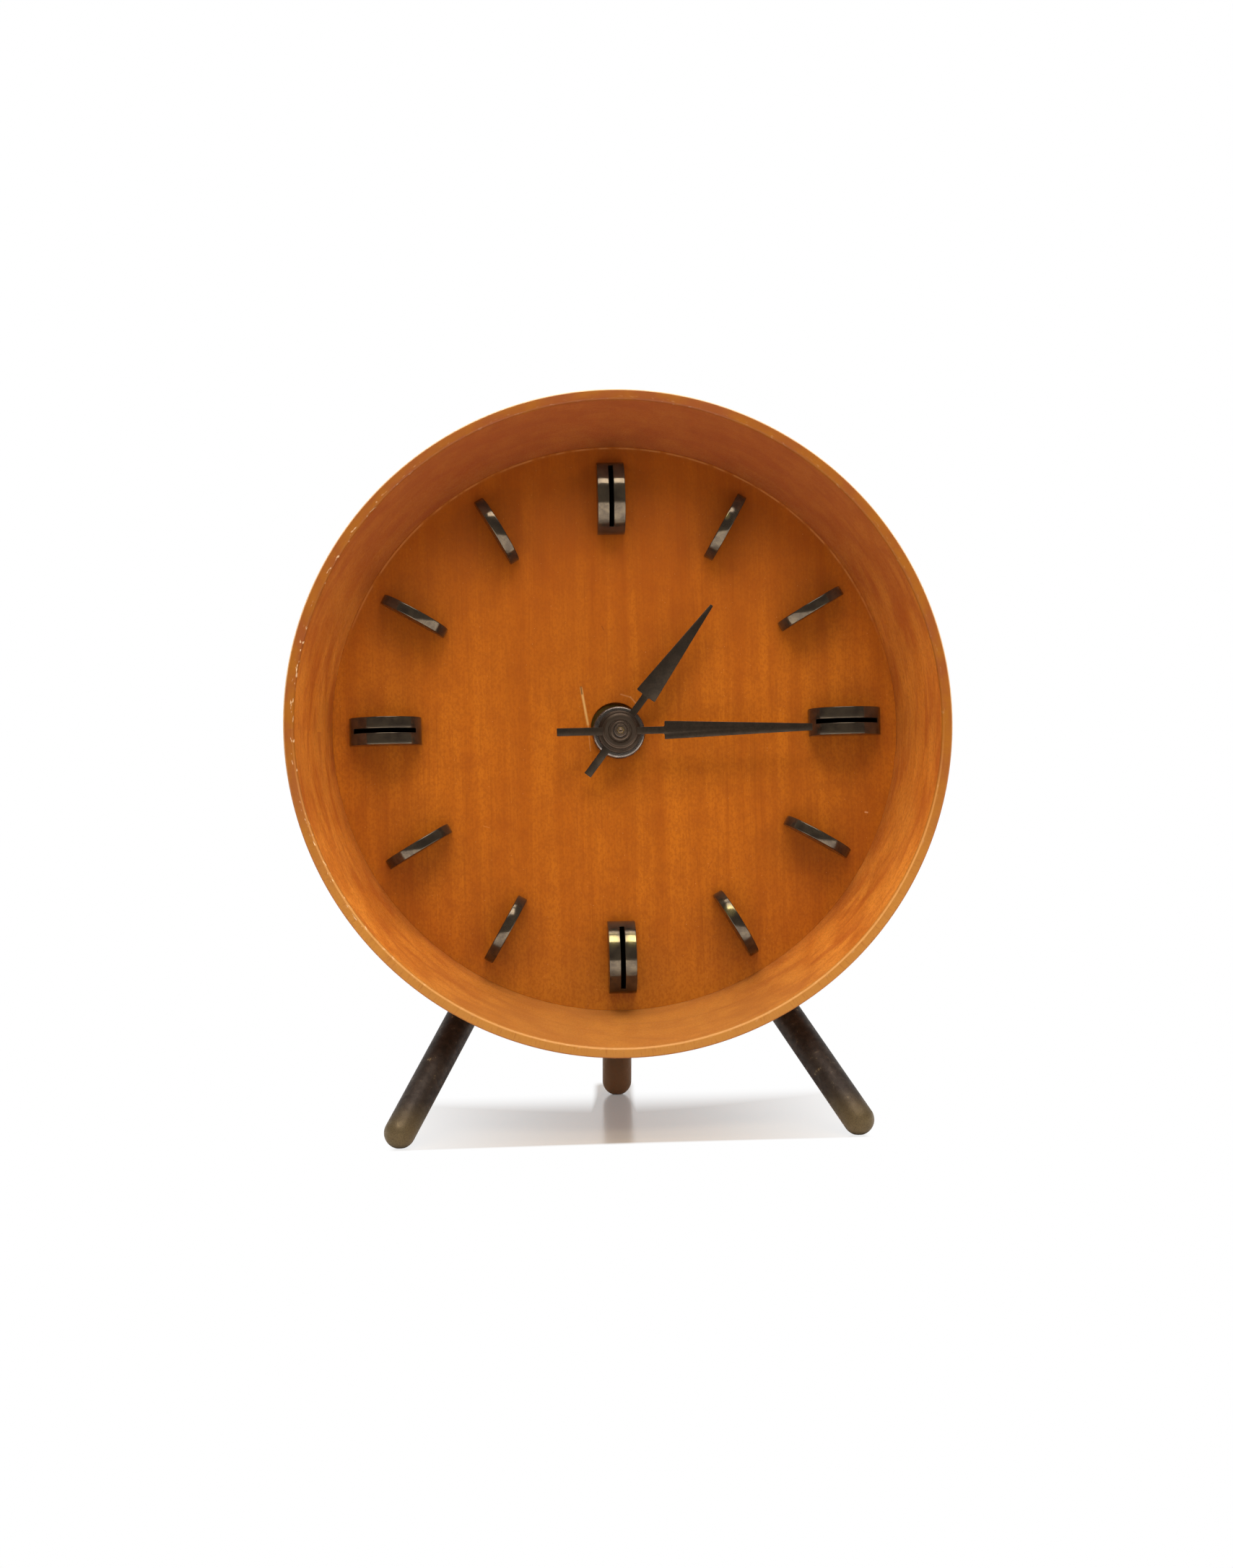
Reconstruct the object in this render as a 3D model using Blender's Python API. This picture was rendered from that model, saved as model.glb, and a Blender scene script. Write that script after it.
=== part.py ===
"""Desk clock: a turned wooden bowl that leans back on three bronze legs.

The bowl's front recess holds a round dial with twelve arched bronze markers and two
hands. The bowl's rear cavity holds a key-wound eight-day movement, fixed through the
middle of the dial by one ring nut, behind a round back cover. The clock shows 1:15.

Everything but the legs is built about the bowl's own axis: X to the right, Y backwards
from the rim and Z up the dial. Angles there run from X towards Z.
"""

import math

import bmesh
import bpy
from mathutils import Matrix, Vector

MM = 0.001

# Gaps that every piece keeps to its neighbours
SEAT = 0.25 * MM  # between faces that rest on each other
FIT = 0.05 * MM  # radial play of a shaft in its hole
SHAKE = 0.6 * MM  # free space along the axis beside a turning piece
OVERRUN = 1.0 * MM  # how far a cutter passes the face it cuts
WELD = 0.0005 * MM  # points nearer than this are one

# Bowl
RIM_RADIUS = 75.0 * MM
LIP_WIDTH = 2.3 * MM
LIP_EDGE = 0.4 * MM
RECESS_DEPTH = 19.18 * MM
WALL_RUN = 7.59 * MM  # how far the recess wall leans in from lip to dial
WEB_THICKNESS = 4.0 * MM
FLANK_BULGE = 2.8 * MM
BACK_LAND = 5.0 * MM  # wood outside the back cover
BACK_EDGE = 3.0 * MM
CAVITY_MARGIN = 6.0 * MM
BOWL_SIDES = 64
FLANK_STEPS = 6
EDGE_STEPS = 3

# Stand
LEAN = math.radians(6.2)
BOWL_LIFT = 17.75 * MM  # the rim's lowest point above the table, before the lean
FRONT_SPLAY = 18.474 * MM  # how far a front foot stands outside where its leg enters
FRONT_FOOT_REACH = 10.41 * MM
REAR_FOOT_REACH = 46.59 * MM
LEG_RADIUS = 3.5 * MM
LEG_SOCKET = 11.0 * MM
LEG_PLAY = 0.1 * MM
FRONT_LEG_ENTRY = 26.0 * MM  # depth behind the rim
REAR_LEG_ENTRY = 42.0 * MM
FRONT_LEG_ANGLE = math.radians(29.2)  # either side of straight down
FOOT_FLAT = 0.2 * MM  # how much of the round tip is worn flat
LEG_SIDES = 16
TIP_STEPS = 4

# Dial and markers
DIAL_THICKNESS = 2.4 * MM
DIAL_GAP = 0.1 * MM
MARKER_EDGE = 3.91 * MM  # dial left bare outside the markers
MARKER_LENGTH = 16.6 * MM
MARKER_HEIGHT = 8.3 * MM
MARKER_FOOT = 1.2 * MM
SINGLE_WIDTH = 2.3 * MM
DOUBLE_WIDTH = 6.3 * MM
SAW_SLOT = 1.25 * MM
SLOT_FLOOR = 2.2 * MM
STUD_RADIUS = 0.9 * MM
STUD_SPACING = 8.0 * MM
ARCH_STEPS = 12
STUD_SIDES = 6

# Hub: the movement hangs a little low and right in its hole, as on the real clock
HUB_SHIFT = 0.6 * MM
HUB_DROP = 1.3 * MM
BUSH_RADIUS = 4.2 * MM
NUT_RADIUS = 6.0 * MM
NUT_THICKNESS = 2.6 * MM
NUT_NOTCH_WIDTH = 1.3 * MM
NUT_NOTCH_DEPTH = 1.0 * MM
NUT_NOTCH_ANGLES = (math.radians(50), math.radians(230))
BUSH_PROUD = 0.2 * MM

# Hands
HOUR_ANGLE = math.radians(37.5)
MINUTE_ANGLE = math.radians(90)
MINUTE_TIP_SHORT = 0.5 * MM  # the minute hand ends this far inside the markers
HOUR_TIP_SHORT = 8.0 * MM  # and the hour hand this far inside that
HAND_THICKNESS = 0.5 * MM
HAND_CLEARANCE = 0.5 * MM
HOUR_BOSS_RADIUS = 4.9 * MM
HOUR_BOSS = 2.0 * MM
MINUTE_BOSS_RADIUS = 4.1 * MM
MINUTE_BOSS = 1.9 * MM
COLLET_RADIUS = 2.15 * MM
COLLET = 1.1 * MM
TIP_PROUD = 1.0 * MM
TIP_HOLE = 0.35 * MM
BLADE_START = 10.2 * MM
NECK_WIDTH = 1.65 * MM
TAIL_WIDTH = 1.8 * MM
HOUR_TAIL = 12.4 * MM
MINUTE_TAIL = 14.4 * MM
HOUR_BLADE_WIDTH = 5.1 * MM
HOUR_TIP_WIDTH = 0.7 * MM
MINUTE_BLADE_WIDTH = 4.2 * MM
MINUTE_TIP_WIDTH = 1.6 * MM
BOSS_STEPS = 8

# Pipes at the centre, one inside the other
ARBOR_TIP_RADIUS = 0.8 * MM
CANNON_WALL = 0.7 * MM
HOUR_WALL = 0.7 * MM
CENTRE_ARBOR_RADIUS = 1.1 * MM

# Plates
PLATE = 1.2 * MM
PLATE_MARGIN = 1.0 * MM
PILLAR_RADIUS = 2.0 * MM
PILLAR_TENON = 1.2 * MM
PILLAR_INSET = 3.5 * MM
PILLAR_ANGLES = tuple(math.radians(a) for a in (10, 72, 178, 292))
MOUNT_RADIUS = 19.0 * MM
MOUNT_FOOT_RADIUS = 1.8 * MM
MOUNT_FOOT_RING = 16.2 * MM
MOUNT_FOOT_ANGLES = tuple(math.radians(a) for a in (30, 150, 228))
LINK_STEPS = 6
PLATE_SIDES = 40
ROUND_SIDES = 16
PIVOT_SIDES = 6

# Teeth: counts, modules and the shape of a tooth in shares of the module and the pitch
BARREL_TEETH, BARREL_MODULE = 48, 0.56 * MM
INTERMEDIATE_TEETH, INTERMEDIATE_MODULE = 40, 0.46 * MM
CENTRE_TEETH, CENTRE_MODULE = 48, 0.40 * MM
THIRD_TEETH, THIRD_MODULE = 45, 0.32 * MM
FOURTH_TEETH, FOURTH_MODULE = 48, 0.28 * MM
BARREL_PINION = 8
CENTRE_PINION = 8
TRAIN_PINION = 6
CANNON_TEETH, MINUTE_WHEEL_TEETH, MINUTE_MODULE = 8, 24, 0.62 * MM
MINUTE_PINION, HOUR_WHEEL_TEETH = 6, 24
ESCAPE_TEETH = 15
RATCHET_TEETH = 24
WHEEL_ADDENDUM_SHARE = 0.75
WHEEL_DEDENDUM_SHARE = 1.3
WHEEL_TIP_SHARE = 0.1
PINION_ADDENDUM_SHARE = 0.5
PINION_DEDENDUM_SHARE = 1.1
PINION_TIP_SHARE = 0.09
PINION_ROOT_SHARE = 0.17

# Wheels and arbors
WHEEL = 0.8 * MM
PINION_SPARE = 0.35 * MM  # how far a pinion passes its wheel on each side
ARBOR_RADIUS = 0.45 * MM
PIVOT_RADIUS = 0.32 * MM
SHOULDER_GAP = 0.2 * MM
WHEEL_RIM = 1.3 * MM
WHEEL_HUB = 2.4 * MM
SPOKE_WIDTH = 1.1 * MM
SPOKES = 4
LEVEL_GAP = 1.6 * MM

# Where each arbor stands, as directions from the arbor that drives it
BARREL_DISTANCE = 20.0 * MM
BARREL_DIRECTION = math.radians(225)
THIRD_DIRECTION = math.radians(35)
FOURTH_DIRECTION = math.radians(115)
ESCAPE_DIRECTION = math.radians(170)
LEVER_DIRECTION = math.radians(185)
BALANCE_DIRECTION = math.radians(200)
MINUTE_WHEEL_DIRECTION = math.radians(300)

# Barrel and winding work
BARREL_HEIGHT = 8.0 * MM
BARREL_WALL = 1.0 * MM
BARREL_DRUM_INSET = 1.0 * MM
BARREL_FLOOR = 1.2 * MM
BARREL_JOURNAL = 2.0 * MM
BARREL_HUB = 3.0 * MM
BARREL_PIVOT = 1.2 * MM
SPRING_THICKNESS = 0.6 * MM
SPRING_TURNS = 4
SPRING_STEPS = 12
KEY_SQUARE = 1.3 * MM  # half the width across the flats
RATCHET_TIP = 6.5 * MM
RATCHET_ROOT = 5.4 * MM
RATCHET = 1.0 * MM
CLICK_REACH = 8.5 * MM
CLICK_RISE = 0.8 * MM
CLICK_HEAD = 2.2 * MM
CLICK_HEAD_SWEEP = math.radians(198)
CLICK_STEPS = 8
CLICK_NOSE = 2.1 * MM
CLICK_POST = 0.9 * MM
CLICK_PLAY = 0.12 * MM
CLICK_DIRECTION = math.radians(-60)
CLICK_SPRING = 0.2 * MM
SPRING_FOOT = 0.8 * MM
KEY_STEM_RADIUS = 3.0 * MM
KEY_STEM = 9.0 * MM
KEY_SOCKET = 6.0 * MM
KEY_LOBE = 4.6 * MM
KEY_LOBE_HOLE = 2.0 * MM
KEY_LOBE_SPREAD = 6.6 * MM
KEY_BOW = 1.8 * MM
KEY_WAIST_ANGLE = math.radians(130)
LOBE_STEPS = 10

# Escapement
ESCAPE_RADIUS = 4.5 * MM
ESCAPE_ROOT = 3.3 * MM
ESCAPE_TIP_SHARE = 0.08
ESCAPE_FLANK_SHARE = 0.22
ESCAPE_PHASE_SHARE = 0.25
PALLET_SPAN = math.radians(30)  # each pallet's angle from the line of centres
PALLET_CLEARANCE = 0.08 * MM
PALLET_RADIUS = 0.22 * MM
LEVER_LENGTH = 7.0 * MM
LEVER_RADIUS = 0.45 * MM
LEVER_TAPER_SHARE = 0.9
LEVER_HUB = 1.0 * MM
ROLLER_RADIUS = 1.15 * MM
ROLLER = 0.5 * MM
IMPULSE_RING = 0.85 * MM
IMPULSE_PIN = 0.16 * MM
BALANCE_RADIUS = 8.0 * MM
BALANCE_RIM = 1.1 * MM
BALANCE = 0.9 * MM
BALANCE_GAP = 1.2 * MM
STAFF_RADIUS = 0.5 * MM
STAFF_PLAY = 0.1 * MM
HAIRSPRING_INNER = 1.3 * MM
HAIRSPRING_OUTER = 4.3 * MM
HAIRSPRING_THICKNESS = 0.16 * MM
HAIRSPRING_HEIGHT = 0.5 * MM
HAIRSPRING_TURNS = 4
HAIRSPRING_STEPS = 10
COCK_DIRECTION = math.radians(160)
COCK_FOOT = 2.4 * MM
COCK_ARM = 2.9 * MM
COCK = 1.0 * MM
COCK_BOSS = 1.2 * MM
REGULATOR_RING = 2.0 * MM
REGULATOR_LENGTH = 7.0 * MM
REGULATOR_TIP = 0.5 * MM
REGULATOR = 0.5 * MM
REGULATOR_DIRECTION = math.radians(60)

# Back
COVER = 2.0 * MM
COVER_SEAT = 6.0 * MM
COVER_PLAY = 0.2 * MM
COVER_HOLE_PLAY = 0.6 * MM
SCREW_RADIUS = 1.2 * MM
SCREW_HEAD_RADIUS = 2.3 * MM
SCREW_HEAD = 1.1 * MM
SCREW_LENGTH = 7.0 * MM
SCREW_ANGLES = tuple(math.radians(a) for a in (90, 210, 330))
KNOB_RADIUS = 6.0 * MM
KNOB_FLUTE = 0.5 * MM
KNOB_FLUTES = 18
KNOB = 4.0 * MM
KNOB_STEM = 2.2 * MM
KNOB_LIFT = 1.6 * MM
KNOB_CAP = 1.2 * MM

# Sizes that follow from the ones above, down the axis from the rim backwards
RIM_CENTRE_HEIGHT = RIM_RADIUS + BOWL_LIFT
RECESS_RADIUS = RIM_RADIUS - LIP_WIDTH - WALL_RUN
WEB_FRONT = RECESS_DEPTH + DIAL_THICKNESS + SEAT
WEB_REAR = WEB_FRONT + WEB_THICKNESS
MOUNT_FRONT = WEB_REAR + SEAT
MOUNT_REAR = MOUNT_FRONT + PLATE
HOUR_WHEEL_FRONT = MOUNT_REAR + SHAKE
MINUTE_WHEEL_FRONT = HOUR_WHEEL_FRONT + WHEEL + 2 * PINION_SPARE + SHAKE
FRONT_PLATE_FRONT = MINUTE_WHEEL_FRONT + WHEEL + SHAKE
FRONT_PLATE_REAR = FRONT_PLATE_FRONT + PLATE
INTERMEDIATE_FRONT = FRONT_PLATE_REAR + SHAKE
BARREL_FRONT = INTERMEDIATE_FRONT + WHEEL + SHAKE
BARREL_REAR = BARREL_FRONT + BARREL_HEIGHT
CENTRE_WHEEL_FRONT = BARREL_REAR + SHAKE
BACK_PLATE_FRONT = CENTRE_WHEEL_FRONT + WHEEL + SHAKE
BACK_PLATE_REAR = BACK_PLATE_FRONT + PLATE
FOURTH_FRONT = BARREL_FRONT + LEVEL_GAP
THIRD_FRONT = FOURTH_FRONT + WHEEL + LEVEL_GAP
ESCAPE_FRONT = THIRD_FRONT + WHEEL + LEVEL_GAP
RATCHET_FRONT = BACK_PLATE_REAR + SEAT
BALANCE_FRONT = BACK_PLATE_REAR + BALANCE_GAP
HAIRSPRING_FRONT = BALANCE_FRONT + BALANCE + SEAT
COCK_FRONT = HAIRSPRING_FRONT + HAIRSPRING_HEIGHT + SEAT
REGULATOR_FRONT = COCK_FRONT + COCK + SEAT
COVER_FRONT = REGULATOR_FRONT + REGULATOR + SHAKE
COVER_REAR = COVER_FRONT + COVER
CASE_REAR = COVER_REAR + SEAT
NUT_REAR = RECESS_DEPTH - SEAT
NUT_FRONT = NUT_REAR - NUT_THICKNESS
BUSH_FRONT = NUT_FRONT - BUSH_PROUD
HOUR_BOSS_REAR = BUSH_FRONT - HAND_CLEARANCE
HOUR_BOSS_FRONT = HOUR_BOSS_REAR - HOUR_BOSS
MINUTE_BOSS_REAR = HOUR_BOSS_FRONT - HAND_CLEARANCE
MINUTE_BOSS_FRONT = MINUTE_BOSS_REAR - MINUTE_BOSS
COLLET_FRONT = MINUTE_BOSS_FRONT - COLLET
ARBOR_TIP_FRONT = COLLET_FRONT - TIP_PROUD
KNOB_FRONT = COVER_REAR + KNOB_LIFT

# Radii that follow
CANNON_BORE = ARBOR_TIP_RADIUS
CANNON_RADIUS = CANNON_BORE + CANNON_WALL
HOUR_RADIUS = CANNON_RADIUS + HOUR_WALL
MARKER_RING = RECESS_RADIUS - MARKER_EDGE - MARKER_LENGTH / 2
MARKER_INNER = MARKER_RING - MARKER_LENGTH / 2
MINUTE_LENGTH = MARKER_INNER - MINUTE_TIP_SHORT
HOUR_LENGTH = MINUTE_LENGTH - HOUR_TIP_SHORT
HUB_HOLE = BUSH_RADIUS + math.hypot(HUB_SHIFT, HUB_DROP) + FIT
BARREL_TIP = (BARREL_TEETH / 2 + WHEEL_ADDENDUM_SHARE) * BARREL_MODULE
BARREL_ROOT = (BARREL_TEETH / 2 - WHEEL_DEDENDUM_SHARE) * BARREL_MODULE
DRUM_RADIUS = BARREL_ROOT - BARREL_DRUM_INSET
DRUM_INSIDE = DRUM_RADIUS - BARREL_WALL
PLATE_RADIUS = BARREL_DISTANCE + BARREL_TIP + PLATE_MARGIN
CAVITY_RADIUS = PLATE_RADIUS + CAVITY_MARGIN
COVER_POCKET = CAVITY_RADIUS + COVER_SEAT
BACK_RADIUS = COVER_POCKET + BACK_LAND
MOTION_DISTANCE = (CANNON_TEETH + MINUTE_WHEEL_TEETH) * MINUTE_MODULE / 2
HOUR_MODULE = 2 * MOTION_DISTANCE / (MINUTE_PINION + HOUR_WHEEL_TEETH)


def at(centre, direction, distance):
    """The point at a distance from a centre."""
    return (
        centre[0] + distance * math.cos(direction),
        centre[1] + distance * math.sin(direction),
    )


def pair_distance(wheel_teeth, pinion_teeth, module):
    """The centre distance of a wheel and its pinion."""
    return (wheel_teeth + pinion_teeth) * module / 2


def meeting_point(first, first_reach, second, second_reach):
    """Where circles about two centres meet, on the right of the way from first to second."""
    gap = math.dist(first, second)
    direction = math.atan2(second[1] - first[1], second[0] - first[0])
    cosine = (first_reach**2 + gap**2 - second_reach**2) / (2 * first_reach * gap)
    return at(first, direction + math.acos(cosine), first_reach)


# Where the arbors stand on the plates
HUB = (HUB_SHIFT, -HUB_DROP)
BARREL = at(HUB, BARREL_DIRECTION, BARREL_DISTANCE)
INTERMEDIATE = meeting_point(
    HUB,
    pair_distance(INTERMEDIATE_TEETH, CENTRE_PINION, INTERMEDIATE_MODULE),
    BARREL,
    pair_distance(BARREL_TEETH, BARREL_PINION, BARREL_MODULE),
)
THIRD = at(HUB, THIRD_DIRECTION, pair_distance(CENTRE_TEETH, TRAIN_PINION, CENTRE_MODULE))
FOURTH = at(THIRD, FOURTH_DIRECTION, pair_distance(THIRD_TEETH, TRAIN_PINION, THIRD_MODULE))
ESCAPE = at(FOURTH, ESCAPE_DIRECTION, pair_distance(FOURTH_TEETH, TRAIN_PINION, FOURTH_MODULE))
PALLET_REACH = ESCAPE_RADIUS + PALLET_CLEARANCE + PALLET_RADIUS
LEVER = at(ESCAPE, LEVER_DIRECTION, PALLET_REACH / math.cos(PALLET_SPAN))
STAFF = at(LEVER, BALANCE_DIRECTION, LEVER_LENGTH)
MINUTE_WHEEL = at(HUB, MINUTE_WHEEL_DIRECTION, MOTION_DISTANCE)


def colour(code):
    """An sRGB hex colour as linear red, green, blue and alpha."""
    parts = [int(code[i : i + 2], 16) / 255 for i in (0, 2, 4)]
    linear = [c / 12.92 if c <= 0.04045 else ((c + 0.055) / 1.055) ** 2.4 for c in parts]
    return (*linear, 1.0)


def finish(name, code, roughness, metallic):
    """A material with one colour."""
    material = bpy.data.materials.new(name)
    material.use_nodes = True
    shader = material.node_tree.nodes["Principled BSDF"]
    shader.inputs["Base Color"].default_value = colour(code)
    shader.inputs["Roughness"].default_value = roughness
    shader.inputs["Metallic"].default_value = metallic
    return material


def circle(radius, sides, centre=(0.0, 0.0)):
    """A round outline."""
    return tuple(at(centre, math.tau * i / sides, radius) for i in range(sides))


def hole(radius, sides=ROUND_SIDES, centre=(0.0, 0.0), play=FIT):
    """A round hole that a shaft of the radius turns freely in, at any angle."""
    return circle((radius + play) / math.cos(math.pi / sides), sides, centre)


def link(first, first_radius, second, second_radius, steps=LINK_STEPS):
    """The outline round two discs and their two tangents."""
    gap = math.dist(first, second)
    direction = math.atan2(second[1] - first[1], second[0] - first[0])
    lean = math.acos((first_radius - second_radius) / gap)
    near = [direction + lean + (math.tau - 2 * lean) * i / steps for i in range(steps + 1)]
    far = [direction - lean + 2 * lean * i / steps for i in range(steps + 1)]
    return tuple(at(first, a, first_radius) for a in near) + tuple(
        at(second, a, second_radius) for a in far
    )


def repeated(count, phase, shape):
    """An outline of a shape's points, given as shares of a pitch and radii, repeated round."""
    pitch = math.tau / count
    return tuple(
        at((0.0, 0.0), phase + (i + share) * pitch, radius)
        for i in range(count)
        for share, radius in shape
    )


def wheel_teeth(teeth, module, phase):
    """A wheel's outline: teeth with flat tips and a notch between each two."""
    tip = (teeth / 2 + WHEEL_ADDENDUM_SHARE) * module
    root = (teeth / 2 - WHEEL_DEDENDUM_SHARE) * module
    return repeated(
        teeth, phase, ((-WHEEL_TIP_SHARE, tip), (WHEEL_TIP_SHARE, tip), (0.5, root))
    )


def pinion_leaves(teeth, module, phase):
    """A pinion's outline: narrow leaves with room between them."""
    tip = (teeth / 2 + PINION_ADDENDUM_SHARE) * module
    root = (teeth / 2 - PINION_DEDENDUM_SHARE) * module
    return repeated(
        teeth,
        phase,
        (
            (-PINION_ROOT_SHARE, root),
            (-PINION_TIP_SHARE, tip),
            (PINION_TIP_SHARE, tip),
            (PINION_ROOT_SHARE, root),
        ),
    )


def meshed(driver, driver_teeth, driver_phase, driven, driven_teeth):
    """The driven gear's phase that puts one of its gaps on the driver's tooth."""
    direction = math.atan2(driven[1] - driver[1], driven[0] - driver[0])
    turned = (driver_phase - direction) * driver_teeth / driven_teeth
    return direction + math.pi - turned + math.pi / driven_teeth


def windows(outer, inner=WHEEL_HUB, spokes=SPOKES, width=SPOKE_WIDTH, steps=2):
    """The openings between a wheel's spokes."""
    openings = []
    for i in range(spokes):
        start = math.tau * i / spokes
        end = start + math.tau / spokes
        points = []
        for radius, first, last in ((outer, start, end), (inner, end, start)):
            trim = math.copysign(math.asin(width / 2 / radius), last - first)
            first, last = first + trim, last - trim
            points += [
                at((0.0, 0.0), first + (last - first) * k / steps, radius)
                for k in range(steps + 1)
            ]
        openings.append(tuple(points))
    return openings


def spiral(inner, outer, turns, steps, thickness):
    """The outline of a flat spiral strip."""
    count = turns * steps
    middle = [
        (math.tau * i / steps, inner + (outer - inner) * i / count) for i in range(count + 1)
    ]
    outside = [at((0.0, 0.0), a, r + thickness / 2) for a, r in middle]
    inside = [at((0.0, 0.0), a, r - thickness / 2) for a, r in reversed(middle)]
    return tuple(outside + inside)


def ring(bm, outline, depth):
    """The corners of an outline at a depth."""
    return [bm.verts.new((x, depth, z)) for x, z in outline]


def sides_of(corners):
    """Each corner with the next one round."""
    return list(zip(corners, corners[1:] + corners[:1]))


def fill(bm, rings):
    """Faces between nested rings that lie in one plane."""
    edges = [
        bm.edges.get(side) or bm.edges.new(side) for corners in rings for side in sides_of(corners)
    ]
    bmesh.ops.triangle_fill(bm, use_beauty=True, edges=edges, normal=(0.0, 1.0, 0.0))


def closed(bm, name, sharp=math.radians(35)):
    """The finished mesh, its faces turned outwards and its round sides smooth."""
    bmesh.ops.recalc_face_normals(bm, faces=bm.faces)
    mesh = bpy.data.meshes.new(name)
    bm.to_mesh(mesh)
    bm.free()
    mesh.shade_smooth()
    mesh.set_sharp_from_angle(angle=sharp)
    return mesh


def stacked(name, sections):
    """A solid of outlines stacked along Y.

    Each section is its outlines, the depth where it starts and the depth where it ends.
    An outline that the next section repeats runs on through.
    """
    bm = bmesh.new()
    held = {}
    for outlines, near, far in sections:
        fresh = {o: held.get(o) or ring(bm, o, near) for o in outlines}
        fill(bm, [c for o, c in held.items() if o not in fresh]
             + [c for o, c in fresh.items() if o not in held])
        held = {}
        for outline, corners in fresh.items():
            held[outline] = ring(bm, outline, far)
            for (a, b), (c, d) in zip(sides_of(corners), sides_of(held[outline])):
                bm.faces.new((a, b, d, c))
    fill(bm, list(held.values()))
    return closed(bm, name)


def turned(name, profile, sides):
    """A solid turned about Y from a closed profile of radius and depth."""
    bm = bmesh.new()
    corners = [bm.verts.new((radius, depth, 0.0)) for radius, depth in profile]
    edges = [bm.edges.new(side) for side in sides_of(corners)]
    bmesh.ops.spin(
        bm,
        geom=corners + edges,
        cent=(0.0, 0.0, 0.0),
        axis=(0.0, 1.0, 0.0),
        angle=math.tau,
        steps=sides,
        use_merge=True,
    )
    bmesh.ops.remove_doubles(bm, verts=bm.verts, dist=WELD)
    return closed(bm, name)


def combined(name, base, others, operation):
    """The base mesh after a Boolean with the others, as one plain mesh."""
    scene = bpy.context.scene.collection
    body = bpy.data.objects.new(name, base)
    tools = [bpy.data.objects.new(f"{name}_tool", mesh) for mesh in others]
    for item in (body, *tools):
        scene.objects.link(item)
    for tool in tools:
        modifier = body.modifiers.new(tool.name, "BOOLEAN")
        modifier.object = tool
        modifier.operation = operation
        modifier.solver = "EXACT"
    graph = bpy.context.evaluated_depsgraph_get()
    mesh = bpy.data.meshes.new_from_object(body.evaluated_get(graph))
    for item in (body, *tools):
        bpy.data.objects.remove(item)
    mesh.name = name
    mesh.materials.clear()
    mesh.shade_smooth()
    mesh.set_sharp_from_angle(angle=math.radians(35))
    return mesh


def place(name, mesh, material, parent, centre=(0.0, 0.0), turn=0.0):
    """A named object on its own axis under a parent, turned clockwise as seen from the front."""
    piece = bpy.data.objects.new(name, mesh)
    if not mesh.materials:
        mesh.materials.append(material)
    bpy.context.scene.collection.objects.link(piece)
    piece.parent = parent
    piece.location = (centre[0], 0.0, centre[1])
    piece.rotation_euler = (0.0, turn, 0.0)
    return piece


def guide(name, parent=None):
    """An empty that carries other pieces."""
    empty = bpy.data.objects.new(name, None)
    bpy.context.scene.collection.objects.link(empty)
    empty.parent = parent
    return empty


def flank_radius(depth):
    """The bowl's outer radius at a depth behind the rim."""
    share = depth / CASE_REAR
    straight = RIM_RADIUS + (BACK_RADIUS - RIM_RADIUS) * share
    return straight + 4 * FLANK_BULGE * share * (1 - share)


def bowl_point(angle, radius, depth):
    """A point of the bowl in the stand's frame, by its angle from straight down."""
    up = Vector((0.0, math.sin(LEAN), math.cos(LEAN)))
    back = Vector((0.0, math.cos(LEAN), -math.sin(LEAN)))
    across = Vector((1.0, 0.0, 0.0))
    centre = Vector((0.0, 0.0, RIM_CENTRE_HEIGHT))
    return centre + back * depth + (across * math.sin(angle) - up * math.cos(angle)) * radius


def leg_lines():
    """Each leg's name, the centre of its round tip and where its axis enters the bowl."""
    front = flank_radius(FRONT_LEG_ENTRY)
    rear = flank_radius(REAR_LEG_ENTRY)
    lines = []
    for name, side in (("left_leg", -1), ("right_leg", 1)):
        entry = bowl_point(side * FRONT_LEG_ANGLE, front, FRONT_LEG_ENTRY)
        tip = Vector((entry.x + side * FRONT_SPLAY, -FRONT_FOOT_REACH, LEG_RADIUS))
        lines.append((name, tip, entry))
    tip = Vector((0.0, REAR_FOOT_REACH, LEG_RADIUS))
    lines.append(("rear_leg", tip, bowl_point(0.0, rear, REAR_LEG_ENTRY)))
    return lines


def rod(name, radius, start, end, sides=LEG_SIDES):
    """A plain round rod along Z, used as a cutter."""
    bm = bmesh.new()
    placing = Matrix.Translation((0.0, 0.0, (start + end) / 2))
    bmesh.ops.create_cone(
        bm,
        cap_ends=True,
        segments=sides,
        radius1=radius,
        radius2=radius,
        depth=end - start,
        matrix=placing,
    )
    return closed(bm, name)


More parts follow.
